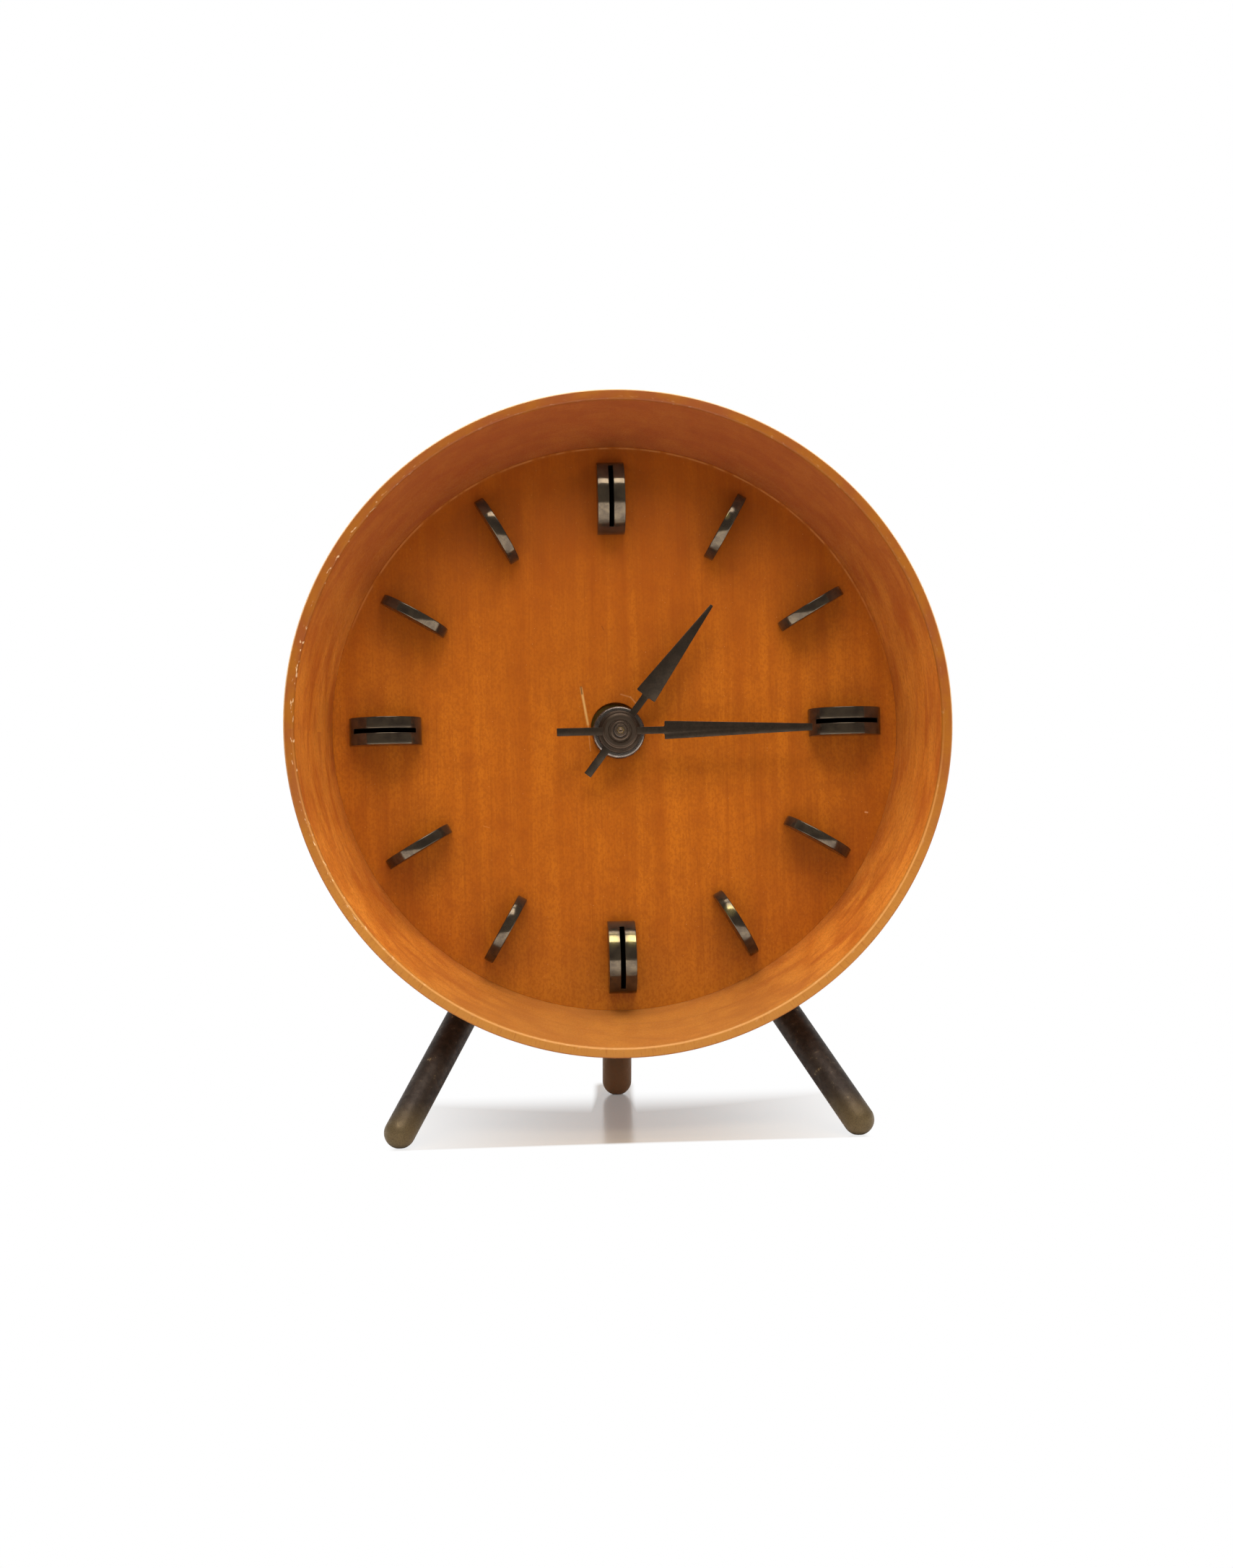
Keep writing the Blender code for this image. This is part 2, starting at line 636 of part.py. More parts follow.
def case_mesh(tilt):
    """The bowl: one turned piece with three leg sockets and three screw holes."""
    seat = COVER_FRONT - SEAT
    profile = [
        (RIM_RADIUS - LIP_EDGE, 0.0),
        (RIM_RADIUS - LIP_WIDTH + LIP_EDGE, 0.0),
        (RIM_RADIUS - LIP_WIDTH, LIP_EDGE),
        (RECESS_RADIUS, RECESS_DEPTH),
        (RECESS_RADIUS, WEB_FRONT),
        (HUB_HOLE, WEB_FRONT),
        (HUB_HOLE, WEB_REAR),
        (CAVITY_RADIUS, WEB_REAR),
        (CAVITY_RADIUS, seat),
        (COVER_POCKET, seat),
        (COVER_POCKET, CASE_REAR),
    ]
    corner = (flank_radius(CASE_REAR - BACK_EDGE) - BACK_EDGE, CASE_REAR - BACK_EDGE)
    for i in range(EDGE_STEPS + 1):
        angle = math.pi / 2 * (1 - i / EDGE_STEPS)
        profile.append(at(corner, angle, BACK_EDGE))
    for i in range(1, FLANK_STEPS + 1):
        depth = (CASE_REAR - BACK_EDGE) * (1 - i / FLANK_STEPS) + LIP_EDGE * i / FLANK_STEPS
        profile.append((flank_radius(depth), depth))
    bowl = turned("case", profile, BOWL_SIDES)

    cutters = []
    for name, tip, entry in leg_lines():
        up = (entry - tip).normalized()
        reach = (entry - tip).length
        cutter = rod(f"{name}_socket", LEG_RADIUS + LEG_PLAY, reach - LEG_RADIUS * 2,
                     reach + LEG_SOCKET + SEAT)
        placing = Matrix.Translation(tip) @ up.to_track_quat("Z", "Y").to_matrix().to_4x4()
        cutter.transform(tilt.inverted() @ placing)
        cutters.append(cutter)
    for angle in SCREW_ANGLES:
        centre = at((0.0, 0.0), angle, screw_ring())
        outline = hole(SCREW_RADIUS, PIVOT_SIDES, centre)
        cutters.append(
            stacked("screw_hole", [([outline], COVER_REAR - SCREW_LENGTH - SEAT, CASE_REAR)])
        )
    return combined("case", bowl, cutters, "DIFFERENCE")


def screw_ring():
    """The radius of the circle that the cover's screws stand on."""
    return (CAVITY_RADIUS + COVER_POCKET) / 2


def leg_mesh(name, tip, entry):
    """A round rod with a domed tip, worn flat where it stands."""
    direction = (entry - tip).normalized()
    turn = direction.to_track_quat("Z", "Y").to_matrix()
    top = (entry - tip).length + LEG_SOCKET
    profile = [(0.0, top), (LEG_RADIUS - LEG_PLAY, top), (LEG_RADIUS, top - LEG_PLAY)]
    for i in range(TIP_STEPS + 1):
        angle = math.pi / 2 * i / TIP_STEPS
        profile.append((LEG_RADIUS * math.cos(angle), -LEG_RADIUS * math.sin(angle)))
    bm = bmesh.new()
    corners = [bm.verts.new((radius, 0.0, height)) for radius, height in profile]
    edges = [bm.edges.new(pair) for pair in zip(corners, corners[1:])]
    bmesh.ops.spin(
        bm,
        geom=corners + edges,
        cent=(0.0, 0.0, 0.0),
        axis=(0.0, 0.0, 1.0),
        angle=math.tau,
        steps=LEG_SIDES,
        use_merge=True,
    )
    bmesh.ops.remove_doubles(bm, verts=bm.verts, dist=WELD)
    down = turn.inverted() @ Vector((0.0, 0.0, -1.0))
    bmesh.ops.bisect_plane(
        bm,
        geom=bm.verts[:] + bm.edges[:] + bm.faces[:],
        dist=WELD,
        plane_co=down * (LEG_RADIUS - FOOT_FLAT),
        plane_no=down,
        clear_outer=True,
    )
    rim = [edge for edge in bm.edges if edge.is_boundary]
    bmesh.ops.edgeloop_fill(bm, edges=rim)
    return closed(bm, name), turn


def make_legs(stand, bronze):
    """Three rods that splay out of the bowl to the table."""
    for name, tip, entry in leg_lines():
        mesh, turn = leg_mesh(name, tip, entry)
        leg = place(name, mesh, bronze, stand)
        leg.location = tip
        leg.rotation_euler = turn.to_euler()


def studs():
    """Where a marker's two studs stand along its length."""
    return ((0.0, -STUD_SPACING / 2), (0.0, STUD_SPACING / 2))


def marker_mesh(name, width, sawn):
    """An arched marker: a half disc on edge, on two studs, sawn down the middle if double.

    It is modelled standing along Z, on a dial face at depth zero.
    """
    half = MARKER_LENGTH / 2
    rise = MARKER_HEIGHT - MARKER_FOOT
    arch = [(-half, 0.0), (-half, -MARKER_FOOT)]
    for i in range(1, ARCH_STEPS):
        angle = math.pi * i / ARCH_STEPS
        arch.append((-half * math.cos(angle), -MARKER_FOOT - rise * math.sin(angle)))
    arch += [(half, -MARKER_FOOT), (half, 0.0)]
    arch = tuple((z, y - SEAT) for z, y in arch)
    bar = stacked(name, [([arch], -width / 2, width / 2)])
    # from (along, height, across) to (across, height, along)
    bar.transform(Matrix(((0, 1, 0, 0), (0, 0, 1, 0), (1, 0, 0, 0), (0, 0, 0, 1))))
    pins = [
        stacked("stud", [([circle(STUD_RADIUS, STUD_SIDES, c)], -MARKER_FOOT, DIAL_THICKNESS)])
        for c in studs()
    ]
    bar = combined(name, bar, pins, "UNION")
    if sawn:
        deep = -MARKER_HEIGHT - SEAT - OVERRUN
        cut = (
            (-SAW_SLOT / 2, -half - OVERRUN),
            (SAW_SLOT / 2, -half - OVERRUN),
            (SAW_SLOT / 2, half + OVERRUN),
            (-SAW_SLOT / 2, half + OVERRUN),
        )
        saw = stacked("saw", [([cut], deep, -SLOT_FLOOR - SEAT)])
        bar = combined(name, bar, [saw], "DIFFERENCE")
    return bar


def marker_turns():
    """Each hour with the angle, clockwise from the top, where its marker stands."""
    return [(hour, math.tau * hour / 12) for hour in range(1, 13)]


def make_markers(axis, bronze):
    """Twelve markers, doubled at the quarters."""
    single = marker_mesh("single_marker", SINGLE_WIDTH, False)
    double = marker_mesh("double_marker", DOUBLE_WIDTH, True)
    for hour, turn in marker_turns():
        mesh = single if hour % 3 else double
        marker = place(f"hour_marker_{hour:02d}", mesh, bronze, axis, turn=turn)
        across, up = at((0.0, 0.0), math.pi / 2 - turn, MARKER_RING)
        marker.location = (across, RECESS_DEPTH, up)


def dial_mesh():
    """The round dial board, with a hole for the bush and two for each marker's studs."""
    outlines = [circle(RECESS_RADIUS - DIAL_GAP, BOWL_SIDES), circle(HUB_HOLE, ROUND_SIDES)]
    for _, turn in marker_turns():
        for _, along in studs():
            centre = at((0.0, 0.0), math.pi / 2 - turn, MARKER_RING + along)
            outlines.append(hole(STUD_RADIUS, STUD_SIDES, centre))
    return stacked("dial", [(outlines, RECESS_DEPTH, RECESS_DEPTH + DIAL_THICKNESS)])


def nut_mesh():
    """The ring nut: round, with two notches for its wrench."""
    half = math.asin(NUT_NOTCH_WIDTH / 2 / NUT_RADIUS)
    points = []
    for i, angle in enumerate(NUT_NOTCH_ANGLES):
        following = NUT_NOTCH_ANGLES[(i + 1) % len(NUT_NOTCH_ANGLES)] + math.tau * (
            i + 1 == len(NUT_NOTCH_ANGLES)
        )
        floor = NUT_RADIUS - NUT_NOTCH_DEPTH
        points += [at((0.0, 0.0), angle - half, floor), at((0.0, 0.0), angle + half, floor)]
        sweep = following - angle - 2 * half
        points += [
            at((0.0, 0.0), angle + half + sweep * k / ROUND_SIDES, NUT_RADIUS)
            for k in range(ROUND_SIDES + 1)
        ]
    bore = hole(BUSH_RADIUS)
    return stacked("fixing_nut", [([tuple(points), bore], NUT_FRONT, NUT_REAR)])


def hand_outline(length, blade, tip, tail, boss):
    """A flat hand pointing up: square tail, boss, narrow neck and a tapering blade."""
    def side(width):
        return math.acos(width / 2 / boss)

    right = [(TAIL_WIDTH / 2, -tail)]
    low, high = -side(TAIL_WIDTH), side(NECK_WIDTH)
    right += [
        at((0.0, 0.0), low + (high - low) * i / BOSS_STEPS, boss) for i in range(BOSS_STEPS + 1)
    ]
    right += [(NECK_WIDTH / 2, BLADE_START), (blade / 2, BLADE_START), (tip / 2, length)]
    left = [(-x, z) for x, z in reversed(right)]
    return tuple(right + left)


def hour_hand_mesh():
    """The hour hand, riveted round its boss, which sits on the hour pipe."""
    outline = hand_outline(
        HOUR_LENGTH, HOUR_BLADE_WIDTH, HOUR_TIP_WIDTH, HOUR_TAIL, HOUR_BOSS_RADIUS
    )
    boss = circle(HOUR_BOSS_RADIUS - FIT, ROUND_SIDES)
    bore = hole(HOUR_RADIUS)
    blade_front = HOUR_BOSS_FRONT + (HOUR_BOSS - HAND_THICKNESS) / 2
    blade_rear = blade_front + HAND_THICKNESS
    return stacked(
        "hour_hand",
        [
            ([boss, bore], HOUR_BOSS_FRONT, blade_front),
            ([outline, bore], blade_front, blade_rear),
            ([boss, bore], blade_rear, HOUR_BOSS_REAR),
        ],
    )


def minute_hand_mesh():
    """The minute hand, its boss and the raised collet in the middle."""
    outline = hand_outline(
        MINUTE_LENGTH, MINUTE_BLADE_WIDTH, MINUTE_TIP_WIDTH, MINUTE_TAIL, MINUTE_BOSS_RADIUS
    )
    boss = circle(MINUTE_BOSS_RADIUS - FIT, ROUND_SIDES)
    collet = circle(COLLET_RADIUS, ROUND_SIDES)
    bore = hole(CANNON_RADIUS)
    blade_front = MINUTE_BOSS_FRONT + (MINUTE_BOSS - HAND_THICKNESS) / 2
    blade_rear = blade_front + HAND_THICKNESS
    return stacked(
        "minute_hand",
        [
            ([collet, bore], COLLET_FRONT, MINUTE_BOSS_FRONT),
            ([boss, bore], MINUTE_BOSS_FRONT, blade_front),
            ([outline, bore], blade_front, blade_rear),
            ([boss, bore], blade_rear, MINUTE_BOSS_REAR),
        ],
    )


def pillar_centres():
    """Where the pillars stand on the plates."""
    return [at(HUB, angle, PLATE_RADIUS - PILLAR_INSET) for angle in PILLAR_ANGLES]


def mounting_plate_mesh():
    """The small plate with the threaded bush that goes through the dial, and its three feet."""
    bush = circle(BUSH_RADIUS, ROUND_SIDES)
    bore = hole(HOUR_RADIUS)
    disc = circle(MOUNT_RADIUS, PLATE_SIDES)
    feet = [
        circle(MOUNT_FOOT_RADIUS, PIVOT_SIDES, at((0.0, 0.0), angle, MOUNT_FOOT_RING))
        for angle in MOUNT_FOOT_ANGLES
    ]
    return stacked(
        "mounting_plate",
        [
            ([bush, bore], BUSH_FRONT, MOUNT_FRONT),
            ([disc, bore], MOUNT_FRONT, MOUNT_REAR),
            (feet, MOUNT_REAR, FRONT_PLATE_FRONT - SEAT),
        ],
    )


def beside_hub(point):
    """A point of the plates, seen from the hub."""
    return (point[0] - HUB[0], point[1] - HUB[1])


def plate_outlines(centre_radius, barrel_radius, staff_radius):
    """A plate's rim and the pivot holes that both plates have."""
    outlines = [circle(PLATE_RADIUS, PLATE_SIDES)]
    outlines.append(hole(centre_radius, PIVOT_SIDES))
    outlines.append(hole(barrel_radius, ROUND_SIDES, beside_hub(BARREL)))
    outlines.append(hole(staff_radius, PIVOT_SIDES, beside_hub(STAFF)))
    for point in (INTERMEDIATE, THIRD, FOURTH, ESCAPE, LEVER):
        outlines.append(hole(PIVOT_RADIUS, PIVOT_SIDES, beside_hub(point)))
    for point in pillar_centres():
        outlines.append(hole(PILLAR_TENON, PIVOT_SIDES, beside_hub(point)))
    return outlines


def front_plate_mesh():
    """The front plate, with the post that the minute wheel turns on."""
    post = circle(ARBOR_TIP_RADIUS, PIVOT_SIDES, beside_hub(MINUTE_WHEEL))
    outlines = plate_outlines(ARBOR_TIP_RADIUS, BARREL_PIVOT, PIVOT_RADIUS)
    return stacked(
        "front_plate",
        [
            ([post], HOUR_WHEEL_FRONT, FRONT_PLATE_FRONT),
            (outlines, FRONT_PLATE_FRONT, FRONT_PLATE_REAR),
        ],
    )


def click_point(across, out):
    """A point of the winding work, by its place across and out from the barrel's centre."""
    direction = math.atan2(out, across) + CLICK_DIRECTION
    return at(beside_hub(BARREL), direction, math.hypot(across, out))


def back_plate_mesh():
    """The back plate, with the post that the click turns on."""
    post = circle(CLICK_POST, PIVOT_SIDES, click_point(CLICK_REACH, RATCHET_TIP + CLICK_RISE))
    outlines = plate_outlines(ARBOR_TIP_RADIUS, BARREL_JOURNAL, STAFF_RADIUS + STAFF_PLAY)
    return stacked(
        "back_plate",
        [
            (outlines, BACK_PLATE_FRONT, BACK_PLATE_REAR),
            ([post], BACK_PLATE_REAR, RATCHET_FRONT + RATCHET),
        ],
    )


def pillar_mesh():
    """A pillar between the plates, with a tenon in each."""
    tenon = circle(PILLAR_TENON, PIVOT_SIDES)
    shank = circle(PILLAR_RADIUS, PIVOT_SIDES)
    return stacked(
        "movement_pillar",
        [
            ([tenon], FRONT_PLATE_FRONT, FRONT_PLATE_REAR + SEAT),
            ([shank], FRONT_PLATE_REAR + SEAT, BACK_PLATE_FRONT - SEAT),
            ([tenon], BACK_PLATE_FRONT - SEAT, BACK_PLATE_REAR),
        ],
    )


def on_arbor(name, features):
    """A wheel and pinion on an arbor that turns between the plates.

    Each feature is its outlines and its two depths, from front to back.
    """
    shaft = circle(ARBOR_RADIUS, PIVOT_SIDES)
    pivot = circle(PIVOT_RADIUS, PIVOT_SIDES)
    front, rear = FRONT_PLATE_REAR + SHOULDER_GAP, BACK_PLATE_FRONT - SHOULDER_GAP
    sections = [([pivot], FRONT_PLATE_FRONT, front)]
    depth = front
    for outlines, near, far in features:
        sections.append(([shaft], depth, near))
        sections.append((outlines, near, far))
        depth = far
    sections.append(([shaft], depth, rear))
    sections.append(([pivot], rear, BACK_PLATE_REAR))
    return stacked(name, sections)


def crossed(teeth, module, phase):
    """A spoked wheel's outlines."""
    inside = (teeth / 2 - WHEEL_DEDENDUM_SHARE) * module - WHEEL_RIM
    return [wheel_teeth(teeth, module, phase), *windows(inside)]


def leaves_beside(wheel_front, teeth, module, phase):
    """A pinion's section, a little longer than the wheel it meshes with is thick."""
    outline = pinion_leaves(teeth, module, phase)
    return ([outline], wheel_front - PINION_SPARE, wheel_front + WHEEL + PINION_SPARE)


def train_phases():
    """The phase of every gear of the going train, all in mesh."""
    phases = {"centre_pinion": 0.0, "centre_wheel": 0.0}
    phases["intermediate_wheel"] = meshed(
        HUB, CENTRE_PINION, phases["centre_pinion"], INTERMEDIATE, INTERMEDIATE_TEETH
    )
    phases["barrel"] = meshed(INTERMEDIATE, BARREL_PINION, 0.0, BARREL, BARREL_TEETH)
    phases["third_pinion"] = meshed(HUB, CENTRE_TEETH, 0.0, THIRD, TRAIN_PINION)
    phases["fourth_pinion"] = meshed(THIRD, THIRD_TEETH, 0.0, FOURTH, TRAIN_PINION)
    phases["escape_pinion"] = meshed(FOURTH, FOURTH_TEETH, 0.0, ESCAPE, TRAIN_PINION)
    phases["minute_wheel"] = meshed(HUB, CANNON_TEETH, 0.0, MINUTE_WHEEL, MINUTE_WHEEL_TEETH)
    phases["hour_wheel"] = meshed(MINUTE_WHEEL, MINUTE_PINION, 0.0, HUB, HOUR_WHEEL_TEETH)
    return phases


def barrel_mesh(phase):
    """The going barrel: a toothed drum, open at the back."""
    bore = hole(BARREL_JOURNAL)
    return stacked(
        "mainspring_barrel",
        [
            ([wheel_teeth(BARREL_TEETH, BARREL_MODULE, phase), bore], BARREL_FRONT,
             BARREL_FRONT + BARREL_FLOOR),
            ([circle(DRUM_RADIUS, PLATE_SIDES), circle(DRUM_INSIDE, PLATE_SIDES)],
             BARREL_FRONT + BARREL_FLOOR, BARREL_REAR),
        ],
    )


def barrel_cover_mesh():
    """The lid that snaps into the drum."""
    lid = circle(DRUM_INSIDE - FIT, PLATE_SIDES)
    return stacked(
        "barrel_cover", [([lid, hole(BARREL_JOURNAL)], BARREL_REAR - BARREL_WALL, BARREL_REAR)]
    )


def mainspring_mesh():
    """The mainspring, half run down, between the arbor's hub and the drum."""
    strip = spiral(
        BARREL_HUB + SPRING_THICKNESS,
        DRUM_INSIDE - SPRING_THICKNESS,
        SPRING_TURNS,
        SPRING_STEPS,
        SPRING_THICKNESS,
    )
    near = BARREL_FRONT + BARREL_FLOOR + SEAT
    return stacked("mainspring", [([strip], near, BARREL_REAR - BARREL_WALL - SEAT)])


def square(half):
    """A square outline."""
    return ((-half, -half), (half, -half), (half, half), (-half, half))


def key_square_rear():
    """Where the winding square ends."""
    return COVER_REAR + KEY_SOCKET


def barrel_arbor_mesh():
    """The arbor through the barrel, with a hub for the spring and a square for the key."""
    journal = circle(BARREL_JOURNAL, ROUND_SIDES)
    return stacked(
        "barrel_arbor",
        [
            ([circle(BARREL_PIVOT, ROUND_SIDES)], FRONT_PLATE_FRONT,
             FRONT_PLATE_REAR + SHOULDER_GAP),
            ([journal], FRONT_PLATE_REAR + SHOULDER_GAP, BARREL_FRONT + BARREL_FLOOR + SEAT),
            ([circle(BARREL_HUB, ROUND_SIDES)], BARREL_FRONT + BARREL_FLOOR + SEAT,
             BARREL_REAR - BARREL_WALL - SEAT),
            ([journal], BARREL_REAR - BARREL_WALL - SEAT, BACK_PLATE_REAR),
            ([square(KEY_SQUARE)], BACK_PLATE_REAR, key_square_rear()),
        ],
    )


def ratchet_mesh():
    """The ratchet wheel on the winding square, with saw teeth."""
    rim = repeated(
        RATCHET_TEETH,
        math.pi / 2 + CLICK_DIRECTION,
        ((0.0, RATCHET_ROOT), (0.0, RATCHET_TIP)),
    )
    grip = square(KEY_SQUARE + FIT)
    return stacked("ratchet_wheel", [([rim, grip], RATCHET_FRONT, RATCHET_FRONT + RATCHET)])


def click_mesh():
    """The click: a pawl whose nose stands in a gap of the ratchet wheel.

    It is drawn about its own pivot.
    """
    pivot = (CLICK_REACH, RATCHET_TIP + CLICK_RISE)
    slope = CLICK_PLAY * 2
    nose = [
        (CLICK_NOSE, RATCHET_TIP + slope),
        (CLICK_PLAY, RATCHET_ROOT + slope),
        (CLICK_PLAY, RATCHET_TIP + CLICK_RISE),
    ]
    head = [
        at(pivot, math.pi / 2 - CLICK_HEAD_SWEEP * i / CLICK_STEPS, CLICK_HEAD)
        for i in range(CLICK_STEPS + 1)
    ]
    outline = tuple(
        turned_point((x - pivot[0], y - pivot[1]), CLICK_DIRECTION) for x, y in nose + head
    )
    return stacked(
        "click",
        [([outline, hole(CLICK_POST, PIVOT_SIDES)], RATCHET_FRONT, RATCHET_FRONT + RATCHET)],
    )


def turned_point(point, angle):
    """A point turned about the origin."""
    return at((0.0, 0.0), math.atan2(point[1], point[0]) + angle, math.hypot(*point))


def click_spring_mesh():
    """The flat spring that leans on the click's back."""
    out = RATCHET_TIP + CLICK_RISE + CLICK_HEAD + SPRING_FOOT + SEAT
    foot = click_point(CLICK_REACH + CLICK_HEAD + SPRING_FOOT, out)
    strip = link(foot, SPRING_FOOT, click_point(CLICK_NOSE, out), CLICK_SPRING)
    return stacked("click_spring", [([strip], RATCHET_FRONT, RATCHET_FRONT + RATCHET)])


def key_mesh():
    """The winding key: a stem with a square socket, and a bow of two pierced lobes."""
    near = COVER_FRONT - SEAT
    stem = circle(KEY_STEM_RADIUS, ROUND_SIDES)
    socket = square(KEY_SQUARE + FIT)
    far = COVER_REAR + KEY_STEM
    shaft = stacked(
        "winding_key",
        [
            ([stem, socket], near, key_square_rear() + SEAT),
            ([stem], key_square_rear() + SEAT, far),
        ],
    )
    middle = far + KEY_LOBE / 2
    lobes = []
    for turn in (0.0, math.pi):
        centre = at((0.0, middle), turn, KEY_LOBE_SPREAD)
        lobes += [
            at(centre, turn + KEY_WAIST_ANGLE * (2 * i / LOBE_STEPS - 1), KEY_LOBE)
            for i in range(LOBE_STEPS + 1)
        ]
    holes = [
        circle(KEY_LOBE_HOLE, PIVOT_SIDES, at((0.0, middle), turn, KEY_LOBE_SPREAD))
        for turn in (0.0, math.pi)
    ]
    bow = stacked("key_bow", [([tuple(lobes), *holes], -KEY_BOW / 2, KEY_BOW / 2)])
    bow.transform(Matrix.Rotation(-math.pi / 2, 4, "X"))
    return combined("winding_key", shaft, [bow], "UNION")


def centre_arbor_mesh(phases):
    """The centre arbor, with its pinion and wheel, from the hands to the setting knob."""
    tip = circle(ARBOR_TIP_RADIUS, PIVOT_SIDES)
    dimple = circle(TIP_HOLE, PIVOT_SIDES)
    shaft = circle(CENTRE_ARBOR_RADIUS, PIVOT_SIDES)
    pinion = leaves_beside(
        INTERMEDIATE_FRONT, CENTRE_PINION, INTERMEDIATE_MODULE, phases["centre_pinion"]
    )
    return stacked(
        "centre_arbor",
        [
            ([tip, dimple], ARBOR_TIP_FRONT, COLLET_FRONT),
            ([tip], COLLET_FRONT, FRONT_PLATE_REAR + SHOULDER_GAP),
            pinion,
            ([shaft], pinion[2], CENTRE_WHEEL_FRONT),
            (crossed(CENTRE_TEETH, CENTRE_MODULE, phases["centre_wheel"]), CENTRE_WHEEL_FRONT,
             CENTRE_WHEEL_FRONT + WHEEL),
            ([shaft], CENTRE_WHEEL_FRONT + WHEEL, BACK_PLATE_FRONT - SHOULDER_GAP),
            ([tip], BACK_PLATE_FRONT - SHOULDER_GAP, KNOB_FRONT + KNOB - KNOB_CAP),
        ],
    )


def cannon_pinion_mesh():
    """The cannon pinion: the pipe that carries the minute hand."""
    pipe = circle(CANNON_RADIUS, ROUND_SIDES)
    bore = hole(CANNON_BORE, PIVOT_SIDES)
    leaves = pinion_leaves(CANNON_TEETH, MINUTE_MODULE, 0.0)
    near = MINUTE_WHEEL_FRONT - PINION_SPARE
    return stacked(
        "cannon_pinion",
        [
            ([pipe, bore], COLLET_FRONT, near),
            ([leaves, bore], near, MINUTE_WHEEL_FRONT + WHEEL + PINION_SPARE),
        ],
    )


def minute_wheel_mesh(phase):
    """The minute wheel and the pinion that drives the hour wheel, on the front plate's post."""
    bore = hole(ARBOR_TIP_RADIUS, PIVOT_SIDES)
    leaves = pinion_leaves(MINUTE_PINION, HOUR_MODULE, 0.0)
    return stacked(
        "minute_wheel",
        [
            ([leaves, bore], HOUR_WHEEL_FRONT, MINUTE_WHEEL_FRONT),
            ([wheel_teeth(MINUTE_WHEEL_TEETH, MINUTE_MODULE, phase), bore], MINUTE_WHEEL_FRONT,
             MINUTE_WHEEL_FRONT + WHEEL),
        ],
    )


def hour_wheel_mesh(phase):
    """The hour wheel and the pipe that carries the hour hand."""
    pipe = circle(HOUR_RADIUS, ROUND_SIDES)
    bore = hole(CANNON_RADIUS)
    return stacked(
        "hour_wheel",
        [
            ([pipe, bore], HOUR_BOSS_FRONT, HOUR_WHEEL_FRONT),
            ([wheel_teeth(HOUR_WHEEL_TEETH, HOUR_MODULE, phase), bore], HOUR_WHEEL_FRONT,
             HOUR_WHEEL_FRONT + WHEEL),
        ],
    )


def escape_outline():
    """The escape wheel's fifteen pointed teeth, none of them at a pallet."""
    phase = LEVER_DIRECTION + PALLET_SPAN + ESCAPE_PHASE_SHARE * math.tau / ESCAPE_TEETH
    return repeated(
        ESCAPE_TEETH,
        phase,
        (
            (-ESCAPE_FLANK_SHARE, ESCAPE_ROOT),
            (-ESCAPE_TIP_SHARE, ESCAPE_RADIUS),
            (ESCAPE_TIP_SHARE, ESCAPE_RADIUS),
            (ESCAPE_FLANK_SHARE, ESCAPE_ROOT),
        ),
    )


def pallet_lever_mesh():
    """The pin-pallet lever, drawn about its own arbor, with its two pallet pins."""
    towards = LEVER_DIRECTION + math.pi
    arm_reach = PALLET_REACH * math.tan(PALLET_SPAN)
    arm_turn = math.pi / 2 - PALLET_SPAN
    pins = [at((0.0, 0.0), towards + side * arm_turn, arm_reach) for side in (-1, 1)]
    fork = at((0.0, 0.0), BALANCE_DIRECTION, LEVER_LENGTH - IMPULSE_RING - IMPULSE_PIN * 2
              - LEVER_RADIUS)
    slim = LEVER_RADIUS * LEVER_TAPER_SHARE
    near = ESCAPE_FRONT + WHEEL + SEAT
    far = near + WHEEL
    base = on_arbor("pallet_lever", [([circle(LEVER_HUB, ROUND_SIDES)], near, far)])
    arms = [
        stacked("arm", [([link((0.0, 0.0), LEVER_RADIUS, end, slim)], near, far)])
        for end in (*pins, fork)
    ]
    posts = [
        stacked("pallet", [([circle(PALLET_RADIUS, PIVOT_SIDES, c)], ESCAPE_FRONT, far)])
        for c in pins
    ]
    return combined("pallet_lever", base, arms + posts, "UNION")


def balance_mesh():
    """The balance wheel on its staff, with the roller and impulse pin that meet the lever."""
    staff = circle(STAFF_RADIUS, PIVOT_SIDES)
    pivot = circle(PIVOT_RADIUS, PIVOT_SIDES)
    pin = circle(IMPULSE_PIN, PIVOT_SIDES, at((0.0, 0.0), BALANCE_DIRECTION + math.pi, IMPULSE_RING))
    lever_near = ESCAPE_FRONT + WHEEL + SEAT
    roller_near = lever_near + WHEEL + SEAT
    rim = [circle(BALANCE_RADIUS, PLATE_SIDES)]
    rim += windows(BALANCE_RADIUS - BALANCE_RIM, spokes=2, steps=8, inner=WHEEL_HUB / 2)
    return stacked(
        "balance_wheel",
        [
            ([pivot], FRONT_PLATE_FRONT, FRONT_PLATE_REAR + SHOULDER_GAP),
            ([staff], FRONT_PLATE_REAR + SHOULDER_GAP, lever_near),
            ([staff, pin], lever_near, roller_near),
            ([circle(ROLLER_RADIUS, ROUND_SIDES)], roller_near, roller_near + ROLLER),
            ([staff], roller_near + ROLLER, BALANCE_FRONT),
            (rim, BALANCE_FRONT, BALANCE_FRONT + BALANCE),
            ([staff], BALANCE_FRONT + BALANCE, COCK_FRONT - SHOULDER_GAP),
            ([pivot], COCK_FRONT - SHOULDER_GAP, COCK_FRONT + COCK),
        ],
    )


